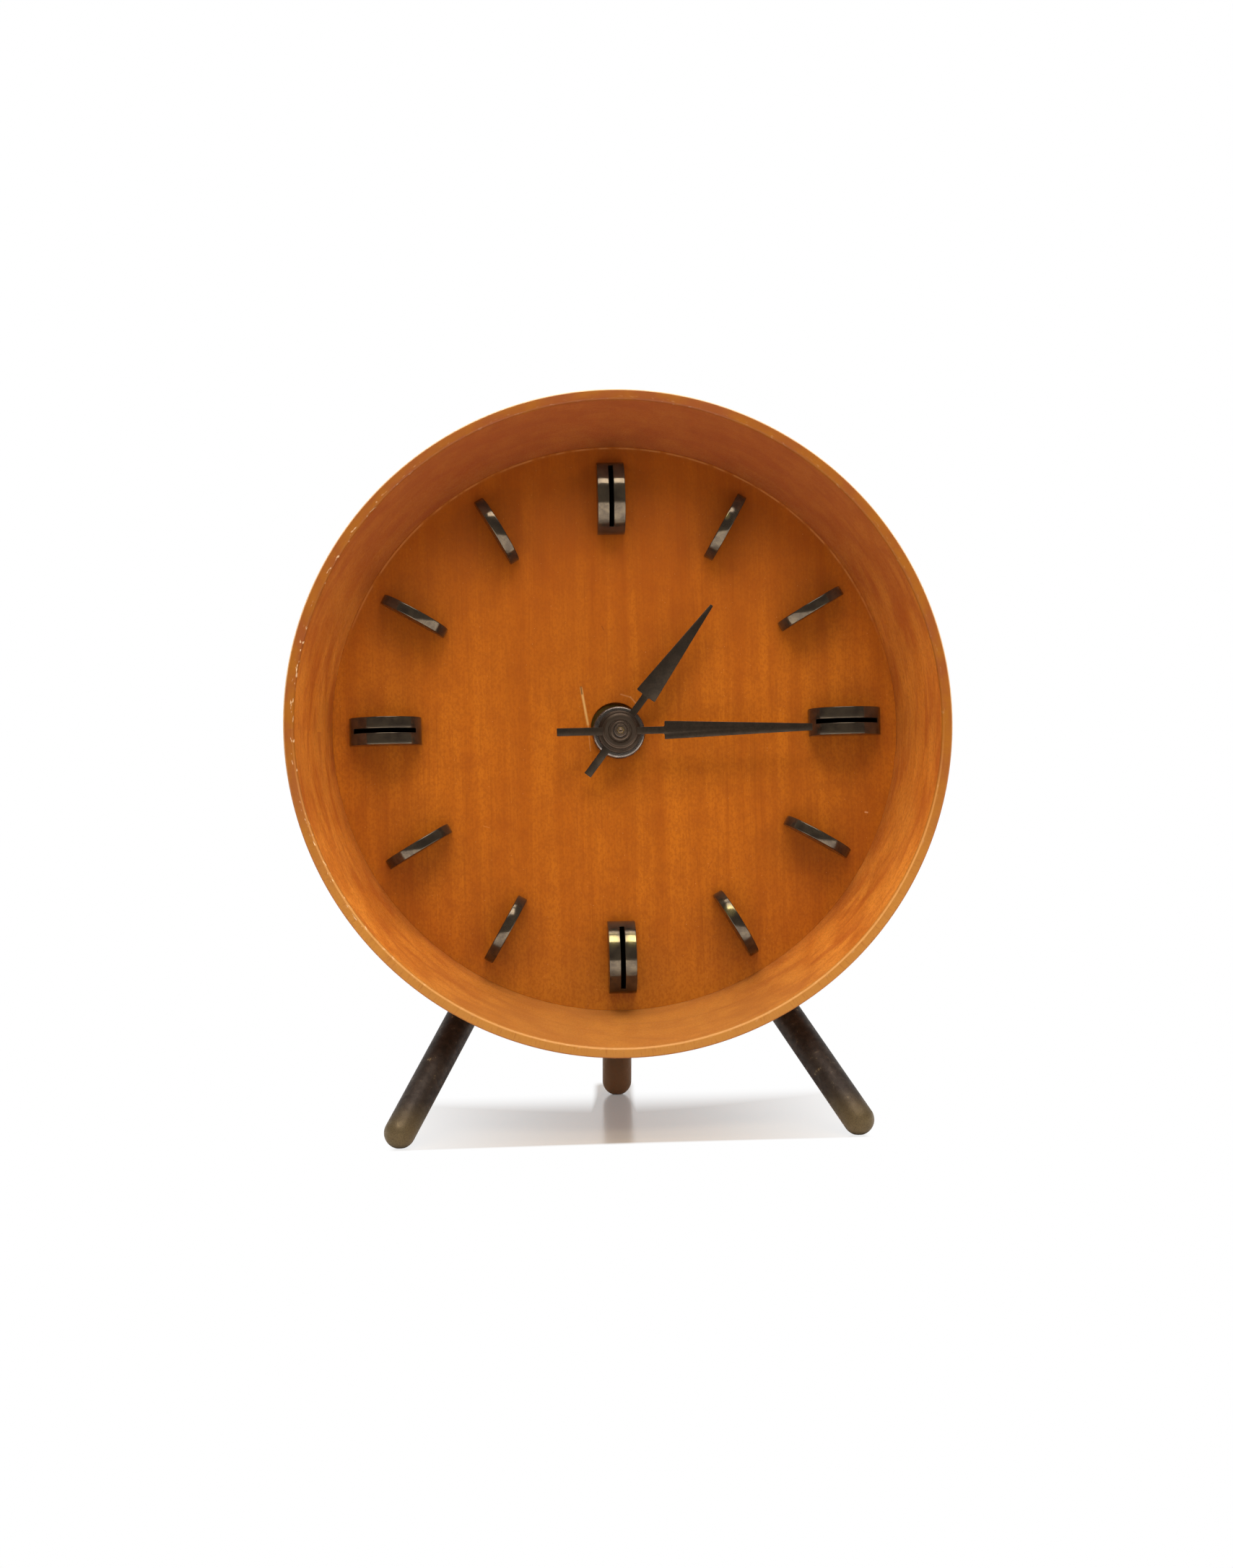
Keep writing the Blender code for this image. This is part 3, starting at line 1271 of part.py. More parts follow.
def hairspring_mesh():
    """The hairspring, a flat spiral behind the balance wheel."""
    strip = spiral(
        HAIRSPRING_INNER,
        HAIRSPRING_OUTER,
        HAIRSPRING_TURNS,
        HAIRSPRING_STEPS,
        HAIRSPRING_THICKNESS,
    )
    return stacked(
        "hairspring", [([strip], HAIRSPRING_FRONT, HAIRSPRING_FRONT + HAIRSPRING_HEIGHT)]
    )


def balance_cock_mesh():
    """The bridge that holds the balance staff's rear pivot, drawn about the staff."""
    reach = BALANCE_RADIUS + SHAKE + COCK_FOOT
    foot = at((0.0, 0.0), COCK_DIRECTION, reach)
    arm = link((0.0, 0.0), COCK_ARM, foot, COCK_ARM)
    pivot = hole(PIVOT_RADIUS, PIVOT_SIDES)
    return stacked(
        "balance_cock",
        [
            ([circle(COCK_FOOT, ROUND_SIDES, foot)], BACK_PLATE_REAR + SEAT, COCK_FRONT),
            ([arm, pivot], COCK_FRONT, COCK_FRONT + COCK),
            ([circle(COCK_BOSS, ROUND_SIDES), pivot], COCK_FRONT + COCK,
             REGULATOR_FRONT + REGULATOR),
        ],
    )


def regulator_mesh():
    """The regulator lever round the cock's boss."""
    end = at((0.0, 0.0), REGULATOR_DIRECTION, REGULATOR_LENGTH)
    outline = link((0.0, 0.0), REGULATOR_RING, end, REGULATOR_TIP)
    return stacked(
        "regulator",
        [([outline, hole(COCK_BOSS)], REGULATOR_FRONT, REGULATOR_FRONT + REGULATOR)],
    )


def cover_mesh():
    """The back cover, with holes for the key, the setting knob's stem and the screws."""
    outlines = [
        circle(COVER_POCKET - COVER_PLAY, BOWL_SIDES),
        hole(KEY_STEM_RADIUS, ROUND_SIDES, BARREL, COVER_HOLE_PLAY),
        hole(KNOB_STEM, ROUND_SIDES, HUB, COVER_HOLE_PLAY),
    ]
    for angle in SCREW_ANGLES:
        outlines.append(hole(SCREW_RADIUS, PIVOT_SIDES, at((0.0, 0.0), angle, screw_ring())))
    return stacked("back_cover", [(outlines, COVER_FRONT, COVER_REAR)])


def screw_mesh():
    """A round-headed wood screw."""
    shank = circle(SCREW_RADIUS, PIVOT_SIDES)
    head = circle(SCREW_HEAD_RADIUS, ROUND_SIDES)
    crown = circle(SCREW_HEAD_RADIUS - SCREW_HEAD / 2, ROUND_SIDES)
    near = COVER_REAR + SEAT
    return stacked(
        "cover_screw",
        [
            ([shank], COVER_REAR - SCREW_LENGTH, near),
            ([head], near, near + SCREW_HEAD / 2),
            ([crown], near + SCREW_HEAD / 2, near + SCREW_HEAD),
        ],
    )


def knob_mesh():
    """The setting knob: a fluted disc on a stem."""
    outline = repeated(
        KNOB_FLUTES, 0.0, ((0.0, KNOB_RADIUS), (0.5, KNOB_RADIUS - KNOB_FLUTE))
    )
    stem = circle(KNOB_STEM, ROUND_SIDES)
    bore = hole(ARBOR_TIP_RADIUS, PIVOT_SIDES)
    floor = KNOB_FRONT + KNOB - KNOB_CAP + SEAT
    return stacked(
        "setting_knob",
        [
            ([stem, bore], COVER_FRONT - SEAT, KNOB_FRONT),
            ([outline, bore], KNOB_FRONT, floor),
            ([outline], floor, KNOB_FRONT + KNOB),
        ],
    )


def make_front(axis, looks):
    """The dial, markers, ring nut and hands."""
    place("dial", dial_mesh(), looks["dial_wood"], axis)
    make_markers(axis, looks["marker_bronze"])
    place("fixing_nut", nut_mesh(), looks["black_steel"], axis, HUB)
    place("hour_hand", hour_hand_mesh(), looks["hand_bronze"], axis, HUB, HOUR_ANGLE)
    place("minute_hand", minute_hand_mesh(), looks["hand_bronze"], axis, HUB, MINUTE_ANGLE)


def make_frame_of_movement(axis, looks):
    """The plates and pillars."""
    brass = looks["plate_brass"]
    place("mounting_plate", mounting_plate_mesh(), brass, axis, HUB)
    place("front_plate", front_plate_mesh(), brass, axis, HUB)
    place("back_plate", back_plate_mesh(), brass, axis, HUB)
    pillar = pillar_mesh()
    for i, centre in enumerate(pillar_centres(), 1):
        place(f"movement_pillar_{i}", pillar, brass, axis, centre)


def make_train(axis, looks):
    """The wheels from the barrel to the escape wheel, and the motion work."""
    phases = train_phases()
    brass, steel = looks["wheel_brass"], looks["steel"]
    place("mainspring_barrel", barrel_mesh(phases["barrel"]), brass, axis, BARREL)
    place("barrel_cover", barrel_cover_mesh(), brass, axis, BARREL)
    place("mainspring", mainspring_mesh(), looks["blue_steel"], axis, BARREL)
    place("centre_arbor", centre_arbor_mesh(phases), brass, axis, HUB)
    intermediate = on_arbor(
        "intermediate_wheel",
        [
            (crossed(INTERMEDIATE_TEETH, INTERMEDIATE_MODULE, phases["intermediate_wheel"]),
             INTERMEDIATE_FRONT, INTERMEDIATE_FRONT + WHEEL),
            ([pinion_leaves(BARREL_PINION, BARREL_MODULE, 0.0)], BARREL_FRONT - PINION_SPARE,
             BARREL_FRONT + BARREL_FLOOR + PINION_SPARE),
        ],
    )
    place("intermediate_wheel", intermediate, brass, axis, INTERMEDIATE)
    third = on_arbor(
        "third_wheel",
        [
            (crossed(THIRD_TEETH, THIRD_MODULE, 0.0), THIRD_FRONT, THIRD_FRONT + WHEEL),
            leaves_beside(CENTRE_WHEEL_FRONT, TRAIN_PINION, CENTRE_MODULE, phases["third_pinion"]),
        ],
    )
    place("third_wheel", third, brass, axis, THIRD)
    fourth = on_arbor(
        "fourth_wheel",
        [
            (crossed(FOURTH_TEETH, FOURTH_MODULE, 0.0), FOURTH_FRONT, FOURTH_FRONT + WHEEL),
            leaves_beside(THIRD_FRONT, TRAIN_PINION, THIRD_MODULE, phases["fourth_pinion"]),
        ],
    )
    place("fourth_wheel", fourth, brass, axis, FOURTH)
    escape = on_arbor(
        "escape_wheel",
        [
            leaves_beside(FOURTH_FRONT, TRAIN_PINION, FOURTH_MODULE, phases["escape_pinion"]),
            ([escape_outline()], ESCAPE_FRONT, ESCAPE_FRONT + WHEEL),
        ],
    )
    place("escape_wheel", escape, steel, axis, ESCAPE)
    place("cannon_pinion", cannon_pinion_mesh(), steel, axis, HUB)
    place("minute_wheel", minute_wheel_mesh(phases["minute_wheel"]), brass, axis, MINUTE_WHEEL)
    place("hour_wheel", hour_wheel_mesh(phases["hour_wheel"]), brass, axis, HUB)


def make_escapement(axis, looks):
    """The lever, the balance and what holds it."""
    place("pallet_lever", pallet_lever_mesh(), looks["steel"], axis, LEVER)
    place("balance_wheel", balance_mesh(), looks["wheel_brass"], axis, STAFF)
    place("hairspring", hairspring_mesh(), looks["blue_steel"], axis, STAFF)
    place("balance_cock", balance_cock_mesh(), looks["plate_brass"], axis, STAFF)
    place("regulator", regulator_mesh(), looks["steel"], axis, STAFF)


def make_winding(axis, looks):
    """The barrel arbor, ratchet, click and key."""
    steel = looks["steel"]
    place("barrel_arbor", barrel_arbor_mesh(), steel, axis, BARREL)
    place("ratchet_wheel", ratchet_mesh(), steel, axis, BARREL)
    pivot = click_point(CLICK_REACH, RATCHET_TIP + CLICK_RISE)
    place("click", click_mesh(), steel, axis, (HUB[0] + pivot[0], HUB[1] + pivot[1]))
    place("click_spring", click_spring_mesh(), looks["blue_steel"], axis, HUB)
    place("winding_key", key_mesh(), looks["key_brass"], axis, BARREL)


def make_back(axis, looks):
    """The cover, its screws and the setting knob."""
    place("back_cover", cover_mesh(), looks["cover_metal"], axis)
    screw = screw_mesh()
    for i, angle in enumerate(SCREW_ANGLES, 1):
        centre = at((0.0, 0.0), angle, screw_ring())
        place(f"cover_screw_{i}", screw, looks["plate_brass"], axis, centre)
    place("setting_knob", knob_mesh(), looks["key_brass"], axis, HUB)


def make_looks():
    """One material for each finish."""
    return {
        "bowl_wood": finish("bowl_wood", "A4552A", 0.45, 0.0),
        "dial_wood": finish("dial_wood", "B4642F", 0.45, 0.0),
        "marker_bronze": finish("marker_bronze", "4A3B26", 0.35, 1.0),
        "hand_bronze": finish("hand_bronze", "2B211A", 0.45, 1.0),
        "leg_bronze": finish("leg_bronze", "5A4630", 0.38, 1.0),
        "black_steel": finish("black_steel", "1C1B1A", 0.4, 1.0),
        "plate_brass": finish("plate_brass", "C9A24E", 0.3, 1.0),
        "wheel_brass": finish("wheel_brass", "D4AF58", 0.25, 1.0),
        "steel": finish("steel", "A8A8AA", 0.25, 1.0),
        "blue_steel": finish("blue_steel", "35405C", 0.25, 1.0),
        "key_brass": finish("key_brass", "BE9442", 0.3, 1.0),
        "cover_metal": finish("cover_metal", "8A6E3C", 0.4, 1.0),
    }


def stand_on_origin(stand):
    """Move the stand so that the clock's base is centred on the origin."""
    bpy.context.view_layer.update()
    corners = [
        piece.matrix_world @ vertex.co
        for piece in bpy.data.objects
        if piece.type == "MESH"
        for vertex in piece.data.vertices
    ]
    lows = [min(c[k] for c in corners) for k in range(3)]
    highs = [max(c[k] for c in corners) for k in range(3)]
    stand.location = (-(lows[0] + highs[0]) / 2, -(lows[1] + highs[1]) / 2, -lows[2])


def main():
    """Build the clock."""
    for item in list(bpy.data.objects):
        bpy.data.objects.remove(item)
    looks = make_looks()
    stand = guide("stand")
    axis = guide("bowl_axis", stand)
    axis.location = (0.0, 0.0, RIM_CENTRE_HEIGHT)
    axis.rotation_euler = (-LEAN, 0.0, 0.0)
    tilt = Matrix.Translation(axis.location) @ Matrix.Rotation(-LEAN, 4, "X")
    place("case", case_mesh(tilt), looks["bowl_wood"], axis)
    make_legs(stand, looks["leg_bronze"])
    make_front(axis, looks)
    make_frame_of_movement(axis, looks)
    make_train(axis, looks)
    make_escapement(axis, looks)
    make_winding(axis, looks)
    make_back(axis, looks)
    stand_on_origin(stand)


main()
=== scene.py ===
"""Desk clock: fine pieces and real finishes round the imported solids.

The clock is a turned wooden bowl that leans back on three bronze legs. Its recess holds
a round dial with twelve arched bronze markers, two hands and the ring nut of the
movement. The back has a brass cover with the winding key and the setting knob.

Lengths are in millimetres, and become metres in the mesh. Bowl pieces are drawn about
the bowl's own axis: X right, Y backwards from the rim, Z up the dial, and are then leaned
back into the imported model's frame.
"""

import logging
import math
from dataclasses import dataclass
from enum import Enum
from functools import partial, reduce

import bmesh
import bpy
from mathutils import Matrix, Vector


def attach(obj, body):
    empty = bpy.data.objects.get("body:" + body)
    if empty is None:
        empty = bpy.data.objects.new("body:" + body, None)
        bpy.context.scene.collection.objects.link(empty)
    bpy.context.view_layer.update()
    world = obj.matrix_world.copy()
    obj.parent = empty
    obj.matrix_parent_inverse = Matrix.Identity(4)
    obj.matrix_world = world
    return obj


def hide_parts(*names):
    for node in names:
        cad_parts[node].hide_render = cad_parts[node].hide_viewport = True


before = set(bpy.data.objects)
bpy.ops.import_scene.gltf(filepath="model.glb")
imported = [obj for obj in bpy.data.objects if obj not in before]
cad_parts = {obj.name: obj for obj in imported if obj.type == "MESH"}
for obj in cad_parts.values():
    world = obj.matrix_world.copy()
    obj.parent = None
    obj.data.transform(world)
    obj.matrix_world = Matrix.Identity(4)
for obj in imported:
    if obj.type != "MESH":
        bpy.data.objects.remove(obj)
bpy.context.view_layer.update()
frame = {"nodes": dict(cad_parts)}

LOG = logging.getLogger("desk_clock")

MM = 0.001
LEAN = math.radians(6.2)
RIM_CENTRE = Vector((0.0, -26.576, 92.55)) * MM
BOWL = Matrix.Translation(RIM_CENTRE) @ Matrix.Rotation(-LEAN, 4, "X")
CREASE = math.radians(32)
SHARP = math.radians(40)  # an edge that a file or a buff breaks

# sizes that several pieces share, in mm; depths are measured behind the rim
HUB = (0.6, -1.3)  # where the movement hangs in the dial
BARREL = (-13.542, -15.442)  # the winding arbor
RIM = 75.0  # the bowl's radius at the rim
LIP = 2.3  # the width of its flat lip
DIAL_FRONT = 19.18
HUB_HOLE = 5.68
COVER_SEAT = 50.98
COVER_FRONT, COVER_REAR = 51.23, 53.23
SCREW_COUNT, SCREW_RING, SCREW_HOLE = 3, 43.86, 1.25
MARKER_RING = 52.9
SPECK = 0.01  # the length of a line that looks like a point
SLOT_LENGTH = 14.0  # the saw slot of a quarter's marker

Point = tuple[float, float]
Place = tuple[float, float, float]
Look = tuple[float, float, float, float]
Span = tuple[float, float, float, float]  # from, to, and what these two become
Socket = bpy.types.NodeSocket


class Body(Enum):
    """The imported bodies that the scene's own pieces ride on."""

    FRAME = "clock_frame"
    HOUR = "hour_pipe"
    MINUTE = "minute_arbor"
    WINDING = "winding_arbor"


class Slot(Enum):
    """The record's material slots, one listed with each of the scene's own pieces."""

    BOWL = "bowl_wood"
    DIAL = "dial_wood"
    MARKER = "marker_bronze"
    HAND = "hand_bronze"
    LEG = "leg_bronze"
    BLACK = "black_steel"
    STEEL = "steel"
    KEY = "key_brass"
    COVER = "cover_metal"


class Step(Enum):
    """The steps that the trees are made of: node type, settings, inputs filled, output read."""

    ADD = ("ShaderNodeMath", {"operation": "ADD"}, (0, 1), 0)
    SUBTRACT = ("ShaderNodeMath", {"operation": "SUBTRACT"}, (0, 1), 0)
    MULTIPLY = ("ShaderNodeMath", {"operation": "MULTIPLY"}, (0, 1), 0)
    DIVIDE = ("ShaderNodeMath", {"operation": "DIVIDE"}, (0, 1), 0)
    MULTIPLY_ADD = ("ShaderNodeMath", {"operation": "MULTIPLY_ADD"}, (0, 1, 2), 0)
    MINIMUM = ("ShaderNodeMath", {"operation": "MINIMUM"}, (0, 1), 0)
    MAXIMUM = ("ShaderNodeMath", {"operation": "MAXIMUM"}, (0, 1), 0)
    ABSOLUTE = ("ShaderNodeMath", {"operation": "ABSOLUTE"}, (0,), 0)
    ARCTAN2 = ("ShaderNodeMath", {"operation": "ARCTAN2"}, (0, 1), 0)
    SINE = ("ShaderNodeMath", {"operation": "SINE"}, (0,), 0)
    COSINE = ("ShaderNodeMath", {"operation": "COSINE"}, (0,), 0)
    GREATER = ("ShaderNodeMath", {"operation": "GREATER_THAN"}, (0, 1), 0)
    LESS = ("ShaderNodeMath", {"operation": "LESS_THAN"}, (0, 1), 0)
    SHIFT = ("ShaderNodeVectorMath", {"operation": "SUBTRACT"}, (0, 1), 0)
    STRETCH = ("ShaderNodeVectorMath", {"operation": "MULTIPLY"}, (0, 1), 0)
    SCALE = ("ShaderNodeVectorMath", {"operation": "SCALE"}, (0, "Scale"), 0)
    LENGTH = ("ShaderNodeVectorMath", {"operation": "LENGTH"}, (0,), "Value")
    DOT = ("ShaderNodeVectorMath", {"operation": "DOT_PRODUCT"}, (0, 1), "Value")
    TURN = ("ShaderNodeVectorRotate", {"rotation_type": "EULER_XYZ"}, ("Vector", "Rotation"), 0)
    VECTOR = ("ShaderNodeCombineXYZ", {}, (0, 1, 2), 0)
    CLAMP = ("ShaderNodeClamp", {}, (0, 1, 2), 0)
    EASE = ("ShaderNodeMapRange", {"interpolation_type": "SMOOTHSTEP"}, (0, 1, 2, 3, 4), 0)
    BLEND = ("ShaderNodeMix", {"data_type": "RGBA"}, (0, 6, 7), 2)
    LEVEL = ("ShaderNodeMix", {"data_type": "FLOAT"}, (0, 2, 3), 0)
    MOVE = ("GeometryNodeTransform", {}, ("Geometry", "Translation"), 0)
    STAND = ("GeometryNodeTransform", {}, ("Geometry", "Rotation"), 0)
    COVER = ("ShaderNodeMixShader", {}, (0, 1, 2), 0)


def linear(code: str) -> Look:
    """The linear colour of an sRGB hex code.

    Args:
        code: six hex digits.

    Returns:
        Red, green, blue and alpha.
    """
    shares = [int(code[i : i + 2], 16) / 255 for i in (0, 2, 4)]
    channels = [s / 12.92 if s <= 0.04045 else ((s + 0.055) / 1.055) ** 2.4 for s in shares]
    return (channels[0], channels[1], channels[2], 1.0)


def add(
    tree: bpy.types.NodeTree, kind: str, settings: dict | None = None, inputs: dict | None = None
) -> bpy.types.Node:
    """Add one node with its settings and its inputs.

    Args:
        tree: the tree that gets the node.
        kind: the node's type name.
        settings: attributes of the node.
        inputs: constants or sockets for its inputs, by name or number.

    Returns:
        The new node.
    """
    node = tree.nodes.new(kind)
    for key, value in (settings or {}).items():
        setattr(node, key, value)
    for key, value in (inputs or {}).items():
        if isinstance(value, Socket):
            tree.links.new(value, node.inputs[key])
        else:
            node.inputs[key].default_value = value
    return node


def take(tree: bpy.types.NodeTree, step: Step, *values: object) -> Socket:
    """Take one step in a tree.

    Args:
        tree: the tree.
        step: the step.
        values: sockets or constants for its inputs, in order.

    Returns:
        The step's result.
    """
    kind, settings, inputs, output = step.value
    return add(tree, kind, settings, dict(zip(inputs, values))).outputs[output]


@dataclass(frozen=True)
class Grain:
    """A mottle whose patches have a real size."""

    size: Place  # mm, the size of a patch along X, Y and Z
    detail: float  # octaves of finer patches
    seed: float  # tells one mottle from the next
    pull: float = 0.0  # how far the patches are pulled about


@dataclass(frozen=True)
class Wash:
    """A tone laid over a colour while a pattern goes from one level to another."""

    tone: str
    start: float
    end: float
    least: float = 0.0
    most: float = 1.0


@dataclass(frozen=True)
class Mark:
    """One straight scratch or speck on the dial, in mm right of its middle and up."""

    start: Point
    end: Point
    half_width: float
    tone: str
    strength: float  # how much of the tone shows


class Shade:
    """A material under construction, with its pattern space in millimetres."""

    def __init__(
        self, name: str, turn: Place = (LEAN, 0.0, 0.0), centre: Vector = RIM_CENTRE
    ) -> None:
        """Start a node material whose pattern follows the object.

        Args:
            name: the material's name.
            turn: how the pattern's axes are turned, in radians.
            centre: the pattern's origin, in metres.
        """
        self.material = bpy.data.materials.new(name)
        self.material.use_nodes = True
        self.tree = self.material.node_tree
        self.tree.nodes.clear()
        self.take = partial(take, self.tree)
        place = add(self.tree, "ShaderNodeTexCoord").outputs["Object"]
        place = self.take(Step.TURN, self.take(Step.SHIFT, place, tuple(centre)), turn)
        self.place = self.take(Step.SCALE, place, 1 / MM)

    def grain(self, grain: Grain, place: Socket | None = None) -> Socket:
        """A mottle on the object.

        Args:
            grain: the mottle.
            place: its coordinates in mm, or none for the material's own.

        Returns:
            Its level, from 0 to 1.
        """
        scaled = self.take(Step.STRETCH, place or self.place, tuple(1 / s for s in grain.size))
        return add(
            self.tree, "ShaderNodeTexNoise", {"noise_dimensions": "4D"},
            {"Vector": scaled, "W": grain.seed, "Scale": 1.0, "Detail": grain.detail,
             "Roughness": 0.55, "Distortion": grain.pull},
        ).outputs[0]

    def product(self, first: object, *others: object) -> Socket:
        """Masks or numbers multiplied together."""
        return reduce(partial(self.take, Step.MULTIPLY), others, first)

    def wash(self, colour: object, wash: Wash, pattern: Socket, *masks: Socket) -> Socket:
        """Lay a tone over a colour.

        Args:
            colour: the colour below.
            wash: the tone, and the levels that it lies between.
            pattern: what has those levels.
            masks: what else holds the tone back.

        Returns:
            The new colour.
        """
        share = self.take(Step.EASE, pattern, wash.start, wash.end, wash.least, wash.most)
        return self.take(Step.BLEND, self.product(share, *masks), colour, linear(wash.tone))

    def axes(self) -> list[Socket]:
        """The pattern's X, Y and Z in millimetres."""
        return list(add(self.tree, "ShaderNodeSeparateXYZ", None, {0: self.place}).outputs)

    def radius(self) -> Socket:
        """The distance from the pattern's Y axis in millimetres."""
        return self.take(Step.LENGTH, self.take(Step.STRETCH, self.place, (1.0, 0.0, 1.0)))

    def away(self, value: Socket, level: float) -> Socket:
        """How far a value is from a level, either way."""
        return self.take(Step.ABSOLUTE, self.take(Step.SUBTRACT, value, level))

    def line(self, start: Point, end: Point, half_width: float) -> Socket:
        """A mask over one straight line in the X-Z plane, soft to its edge.

        Args:
            start: one end in mm.
            end: the other end in mm.
            half_width: half the line's width in mm.

        Returns:
            1 on the line and 0 away from it.
        """
        along = Vector((end[0] - start[0], 0.0, end[1] - start[1]))
        way = tuple(along.normalized())
        flat = self.take(Step.STRETCH, self.place, (1.0, 0.0, 1.0))
        offset = self.take(Step.SHIFT, flat, (start[0], 0.0, start[1]))
        held = self.take(Step.CLAMP, self.take(Step.DOT, offset, way), 0.0, along.length)
        aside = self.take(Step.SHIFT, offset, self.take(Step.SCALE, way, held))
        return self.take(Step.EASE, self.take(Step.LENGTH, aside), half_width, 0.0)

    def spot(self, centre: Point, radius: float) -> Socket:
        """A mask over a round spot in the X-Z plane, strongest at its centre."""
        return self.line(centre, (centre[0] + SPECK, centre[1]), radius)

    def surface(self, colour: object, roughness: object, height: Socket, depth: float,
                specular: float, metallic: float = 0.0) -> Socket:
        """A principled surface with a bump.

        Args:
            colour: the base colour.
            roughness: the roughness.
            height: the bump's height, from 0 to 1.
            depth: how deep the bump is in mm.
            specular: the level of the surface's shine.
            metallic: 1 for bare metal.

        Returns:
            The surface.
        """
        bump = add(self.tree, "ShaderNodeBump", None,
                   {"Strength": 1.0, "Distance": depth * MM, "Height": height}).outputs[0]
        return add(
            self.tree, "ShaderNodeBsdfPrincipled", None,
            {"Base Color": colour, "Roughness": roughness, "Metallic": metallic, "Normal": bump,
             "Specular IOR Level": specular},
        ).outputs[0]

    def finish(self, surface: Socket) -> bpy.types.Material:
        """Close the material with its surface, and hand it back."""
        add(self.tree, "ShaderNodeOutputMaterial", None, {"Surface": surface})
        return self.material


@dataclass(frozen=True)
class BowlWood:
    """Satin-lacquered fruitwood, turned: warm orange brown, straight fibres, open pores."""

    name: str = "satin_lacquered_turned_wood"
    base: str = "DC8731"
    # size of a patch in mm along X, Y and Z, octaves, seed and pull
    fibres: Grain = Grain((0.35, 0.35, 16.0), 3.0, 1.0)
    bands: Grain = Grain((5.0, 5.0, 90.0), 2.0, 2.0, 0.6)
    clouds: Grain = Grain((20.0, 20.0, 30.0), 3.0, 3.0, 0.8)
    # drawn coarser than the real pores, which are too fine to show
    pores: Grain = Grain((0.18, 0.18, 2.4), 1.0, 4.0)
    grit: Grain = Grain((0.5, 0.5, 0.8), 2.0, 8.0)
    # tone, the levels of the pattern that it lies between, and how much of it shows
    band_tone: Wash = Wash("C66F23", 0.3, 0.7)
    fibre_tone: Wash = Wash("8A4617", 0.38, 0.72, 0.0, 0.16)
    cloud_tone: Wash = Wash("8A4617", 0.35, 0.75, 0.0, 0.35)
    pore_tone: Wash = Wash("4A200F", 0.66, 0.78, 0.0, 0.5)
    grit_tone: Wash = Wash("8A4617", 0.4, 0.7, 0.0, 0.3)
    # growth rings on the recess wall, along the rim and into the depth
    rings: Grain = Grain((16.0, 2.6, 1.0), 3.0, 9.0, 0.8)
    ring_slant: float = 1.6  # mm along the rim for each mm of depth
    ring_tone: Wash = Wash("9C4318", 0.42, 0.66, 0.0, 0.5)
    wall_radius: Point = (73.6, 73.0)  # mm, where the rings fade in
    wall_depth: Point = (26.0, 19.0)
    # painted shade in the corner where the wall meets the dial, by the depth, fading out up the
    # bowl
    painted_shade: Wash = Wash("884222", 14.5, 19.5, 0.0, 0.3)
    corner_shade_end: Point = (20.5, 19.5)
    corner_shade_foot: Point = (20.0, -10.0)  # mm up the bowl, where the painted shade is full
    # painted light and shade by height, in mm up from the bowl's axis: darker at the top, yellower
    # at the foot
    painted_top_shade: Wash = Wash("884222", 5.0, 58.0, 0.0, 0.75)
    painted_foot_tone: Wash = Wash("A06B30", -48.0, -68.0, 0.0, 0.6)
    # the lip is end grain: short cross streaks, patches of red and gold, worn edges
    lip_base: str = "8A461A"
    patches: Grain = Grain((9.0, 5.0, 1.0), 3.0, 5.0)
    patch_tone: Wash = Wash("97570F", 0.35, 0.65)
    lip_foot_tone: Wash = Wash("B87C34", 0.0, -50.0, 0.0, 0.8)
    streaks: Grain = Grain((0.5, 2.4, 1.0), 3.0, 7.0)
    streak_tone: Wash = Wash("8A4617", 0.5, 0.72, 0.0, 0.4)
    lip_depth: Point = (0.7, 0.4)  # mm, where the lip's tones start
    lip_share: float = 0.92
    # the inner edge, pale low down: rubbed wear and a painted highlight where its rounding catches
    # the light
    edge_inset: float = 0.15  # mm from the lip's inner edge to the middle of the rubbed line
    edge_tone: Wash = Wash("D99A55", 0.3, 0.1)
    edge_foot: Span = (10.0, -40.0, 0.0, 0.6)
    # the outer edge: a painted highlight above, where its rounding catches the light, and a dark
    # line below
    outline: Point = (0.45, 0.15)  # mm in from the rim
    outline_dark: str = "8A431A"
    painted_rim_highlight: Wash = Wash("F3D0A0", -30.0, 10.0)
    outline_share: Point = (0.5, 0.8)
    # nicks along the inner edge, most of them on the left
    nicks: Grain = Grain((1.6, 0.5, 1.0), 1.0, 6.0)
    nick_tone: Wash = Wash("F3D0A0", 0.6, 0.7, 0.0, 0.8)
    nick_reach: Point = (0.8, 0.3)  # mm from the rubbed line
    nick_side: Span = (-40.0, -70.0, 0.12, 1.0)
    roughness: Span = (0.2, 0.8, 0.36, 0.52)
    pore_depth: float = 0.8  # of the bump's height
    bump: float = 0.025  # mm
    specular: float = 0.22

    def lip_colour(self, shade: Shade, place: Socket, z: Socket) -> Socket:
        """The flat lip's colour.

        Args:
            shade: the material.
            place: coordinates along the rim and across it.
            z: the height up the bowl.

        Returns:
            The colour.
        """
        patches = shade.grain(self.patches, place)
        colour = shade.wash(linear(self.lip_base), self.patch_tone, patches)
        colour = shade.wash(colour, self.lip_foot_tone, z)
        return shade.wash(colour, self.streak_tone, shade.grain(self.streaks, place))

